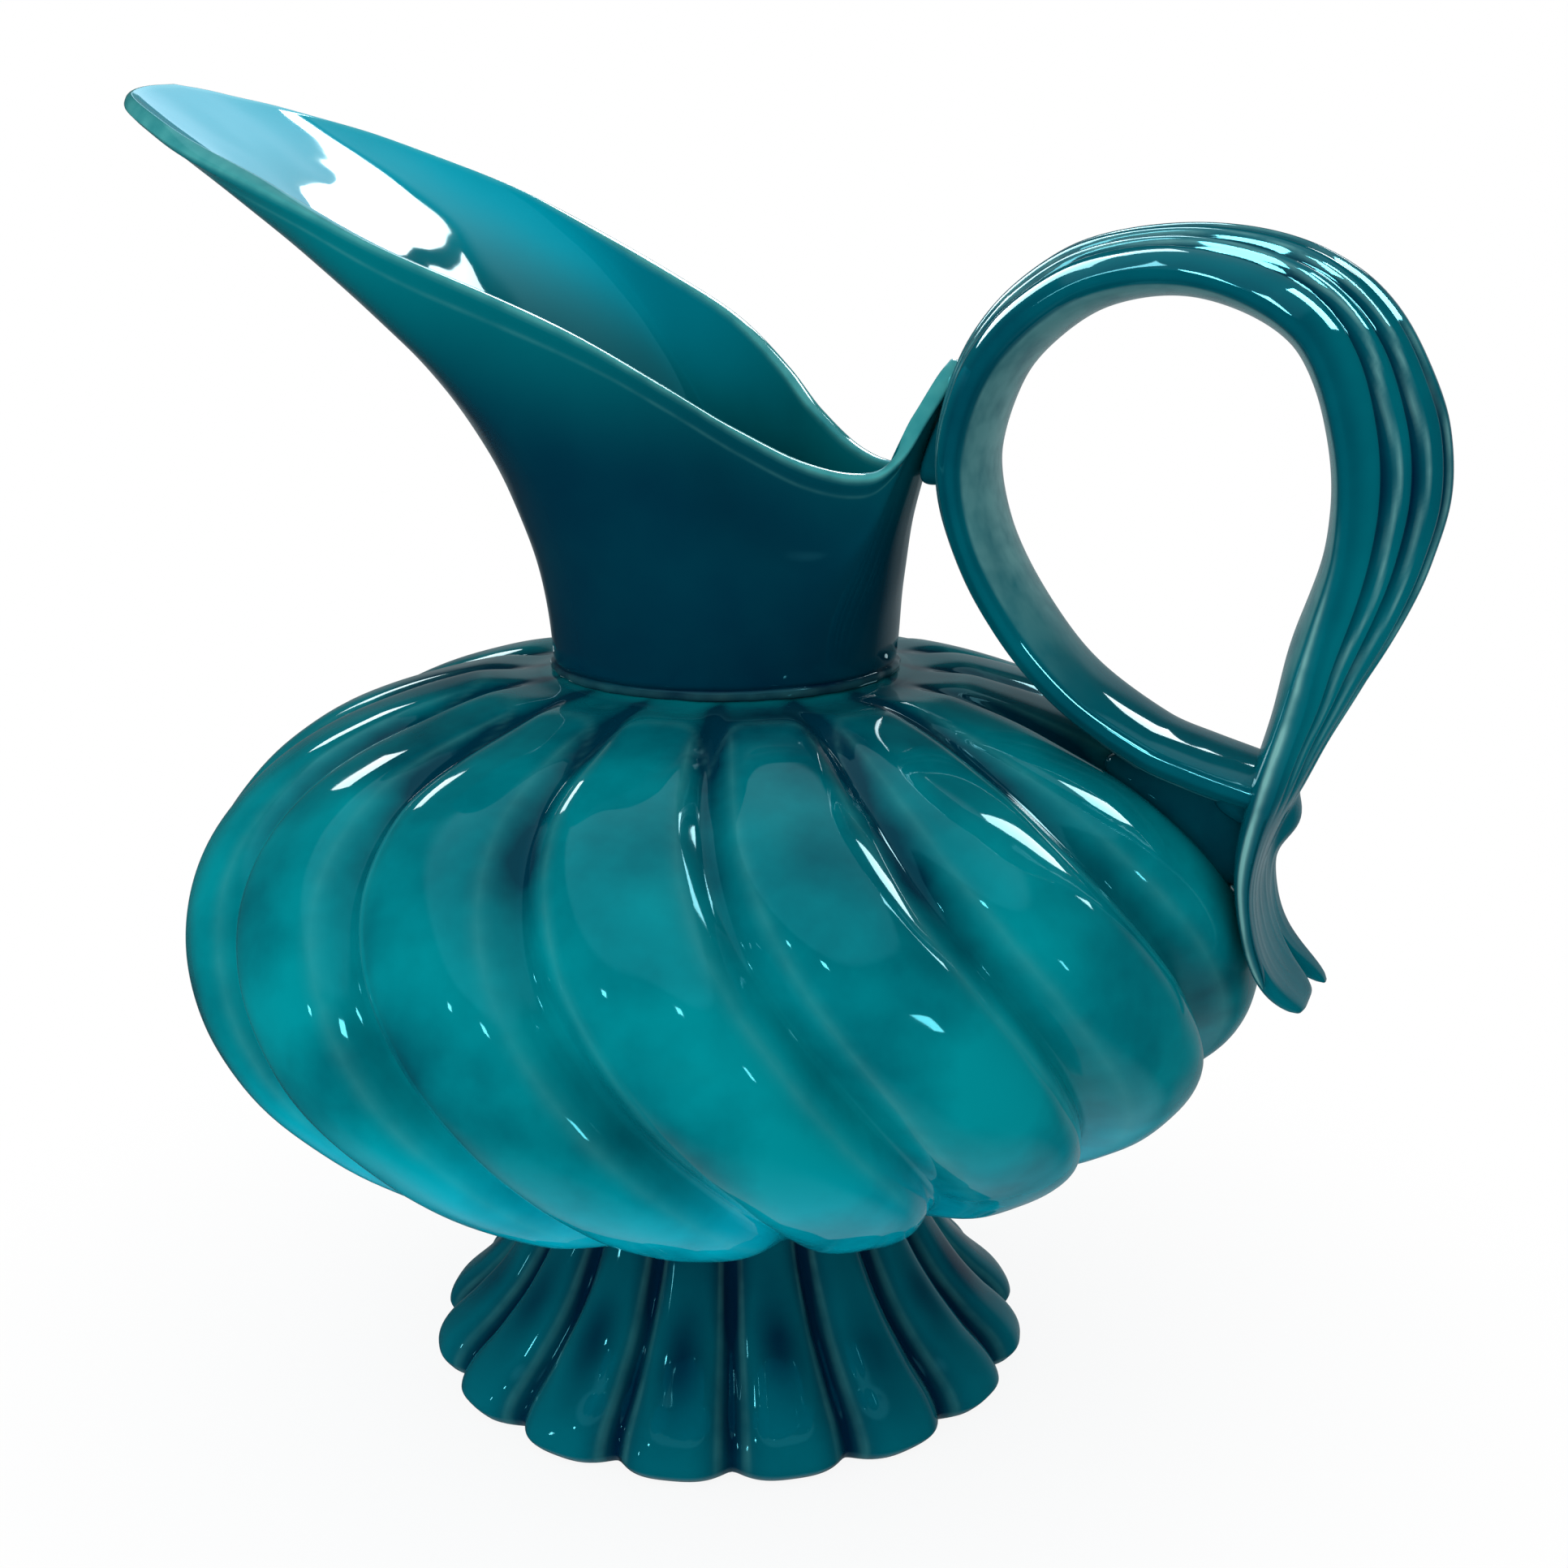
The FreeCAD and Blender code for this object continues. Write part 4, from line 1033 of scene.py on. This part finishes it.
# %% The room's light
def build_world(fill, backdrop, room, ceiling, table):
    """White where the camera looks. Reflections see a pale backdrop low behind the pot, a dim
    room, a lighter ceiling and a faint table below, as steps in the direction of the ray.
    The rest of the light is an even fill."""
    world = bpy.data.worlds.new("room")
    bpy.context.scene.world = world
    world.use_nodes = True
    tree = world.node_tree
    tree.nodes.clear()
    split = tree.nodes.new("ShaderNodeSeparateXYZ")
    feed(tree, split.inputs[0], tree.nodes.new("ShaderNodeTexCoord").outputs["Generated"])
    low_pale = step(tree, split.outputs["Z"], 0.25, 0.45, backdrop, 0)
    behind = step(tree, split.outputs["Y"], 0.60, 0.96, 0, 1)
    above = step(tree, split.outputs["Z"], 0.74, 0.79, room, ceiling)
    below = step(tree, split.outputs["Z"], -0.90, -0.65, table, 0)
    strength = math_node(tree, "MULTIPLY", low_pale, behind)
    strength = math_node(tree, "ADD", strength, math_node(tree, "ADD", above, below))
    ray = tree.nodes.new("ShaderNodeLightPath").outputs
    mirrored = math_node(tree, "MAXIMUM", ray["Is Glossy Ray"], ray["Is Transmission Ray"])
    white = plain(tree, "ShaderNodeBackground", WHITE)
    seen = plain(tree, "ShaderNodeBackground", (0.80, 0.95, 1.0), strength)
    even = plain(tree, "ShaderNodeBackground", (0.95, 0.98, 1.0), fill)
    light = mix_shader(tree, mirrored, even, seen)
    light = mix_shader(tree, ray["Is Camera Ray"], light, white)
    feed(tree, tree.nodes.new("ShaderNodeOutputWorld").inputs["Surface"], light)
    return world


room = build_world(fill=0.8, backdrop=0.25, room=0.03, ceiling=0.65, table=0.3)
print("the room has", len(room.node_tree.nodes), "nodes")


# %% A window
LAMPS_AIM_AT = Vector((0, 0, 0.13))


def lit_only(name, pieces):
    """Collection of the pieces that a lamp shines on."""
    group = bpy.data.collections.new(name)
    for piece in pieces:
        group.objects.link(piece)
    return group


def window(name, azimuth, elevation, distance, width, height, brightness, lit, colour=WHITE):
    """Rectangular area lamp that faces the pot from an azimuth and an elevation. Its power
    is its brightness times pi times its area. With lit it makes only the window marks on
    those pieces, and without it only soft light."""
    data = bpy.data.lights.new(name, "AREA")
    data.shape = "RECTANGLE"
    data.size, data.size_y = width, height
    data.energy = brightness * math.pi * width * height
    data.color = colour
    lamp = bpy.data.objects.new(name, data)
    turn, rise = math.radians(azimuth), math.radians(elevation)
    heading = Vector((math.sin(turn) * math.cos(rise), -math.cos(turn) * math.cos(rise),
                      math.sin(rise)))
    lamp.location = LAMPS_AIM_AT + heading * distance
    lamp.rotation_euler = heading.to_track_quat("Z", "Y").to_euler()
    lamp.visible_diffuse = lit is None
    lamp.visible_glossy = lit is not None
    lamp.visible_camera = False
    bpy.context.scene.collection.objects.link(lamp)
    if lit is not None:
        lamp.light_linking.receiver_collection = lit
    return lamp


# %% The windows of the room
SKY_BLUE = (0.55, 0.82, 1.0)
on_neck = lit_only("marks_on_neck", [neck])
on_handle = lit_only("marks_on_handle", [handle, crossing_lump])
on_belly = lit_only("marks_on_belly", [belly])
on_foot = lit_only("marks_on_foot", [foot])
# name, azimuth, elevation, distance, width, height, brightness, the pieces that it marks
WINDOWS = [
    ("pane_one", 166, 38, 1.6, 0.42, 0.60, 15, on_neck),
    ("pane_two", 190, 38, 1.6, 0.36, 0.60, 15, on_neck),
    ("sky_in_the_spout", 206, 36, 2.2, 1.0, 1.1, 1.7, on_neck, SKY_BLUE),
    ("strap_pane", 161, 35, 1.6, 0.28, 0.22, 13, on_handle),
    ("tall_left_pane", -52, 60, 2.0, 0.20, 1.5, 16, on_handle),
    ("arch_pane", -121, 45, 2.0, 0.80, 1.5, 15, on_handle),
    ("arch_pane_above", -150, 65, 2.0, 0.70, 0.42, 15, on_handle),
    ("tall_middle_pane", 8, 61, 2.0, 0.40, 0.55, 60, on_handle),
    ("steep_pane", 45, 57, 2.0, 0.24, 0.50, 60, on_handle),
    ("side_window", 77, 51, 2.0, 0.32, 1.00, 60, on_handle),
    ("narrow_pane", 141, 40, 1.6, 0.54, 0.62, 16, on_belly),
    ("left_pane", -124, 29, 1.6, 0.30, 0.20, 8, on_belly),
    ("far_lamp_left", -17, 31, 2.0, 0.10, 0.12, 30, on_belly),
    ("far_lamp_middle", 20, 40, 2.0, 0.12, 0.12, 30, on_belly),
    ("far_lamp_right", 62, 17, 2.0, 0.10, 0.22, 20, on_belly),
    ("low_lamp", -48, 15, 2.0, 0.05, 0.20, 25, on_foot),
    ("foot_lamp", -33, 38, 2.0, 0.10, 0.10, 30, on_foot),
    ("soft_key", -35, 50, 1.5, 1.4, 1.2, 0.7, None),
    ("soft_low_fill", -8, -1, 0.9, 1.2, 0.20, 3.4, None)]
for row in WINDOWS:
    window(*row)
print(len(WINDOWS), "lamps, of which", [row[0] for row in WINDOWS if row[7] is None], "are soft")

# %% The camera
CAMERA_PLACE = (0.17191, -0.41503, 0.25523)
CAMERA_HEADING, CAMERA_DIP = 0.3647, 0.2672
CAMERA_LENS, CAMERA_SENSOR, NEAREST_SEEN = 48.451, 36.0, 0.01
heading = Vector((-math.sin(CAMERA_HEADING) * math.cos(CAMERA_DIP),
                  math.cos(CAMERA_HEADING) * math.cos(CAMERA_DIP), -math.sin(CAMERA_DIP)))
right = Vector((math.cos(CAMERA_HEADING), math.sin(CAMERA_HEADING), 0))
up = right.cross(heading)
camera_data = bpy.data.cameras.new("camera")
camera_data.lens, camera_data.sensor_width = CAMERA_LENS, CAMERA_SENSOR
camera_data.clip_start = NEAREST_SEEN
camera = bpy.data.objects.new("camera", camera_data)
camera.matrix_world = Matrix.Translation(CAMERA_PLACE) @ Matrix(
    (right, up, -heading)).transposed().to_4x4()
bpy.context.scene.collection.objects.link(camera)
bpy.context.scene.camera = camera
bpy.context.scene.view_settings.view_transform = "Standard"
print("the camera is", round(Vector(CAMERA_PLACE).length, 3), "m from the foot's centre")

low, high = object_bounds()
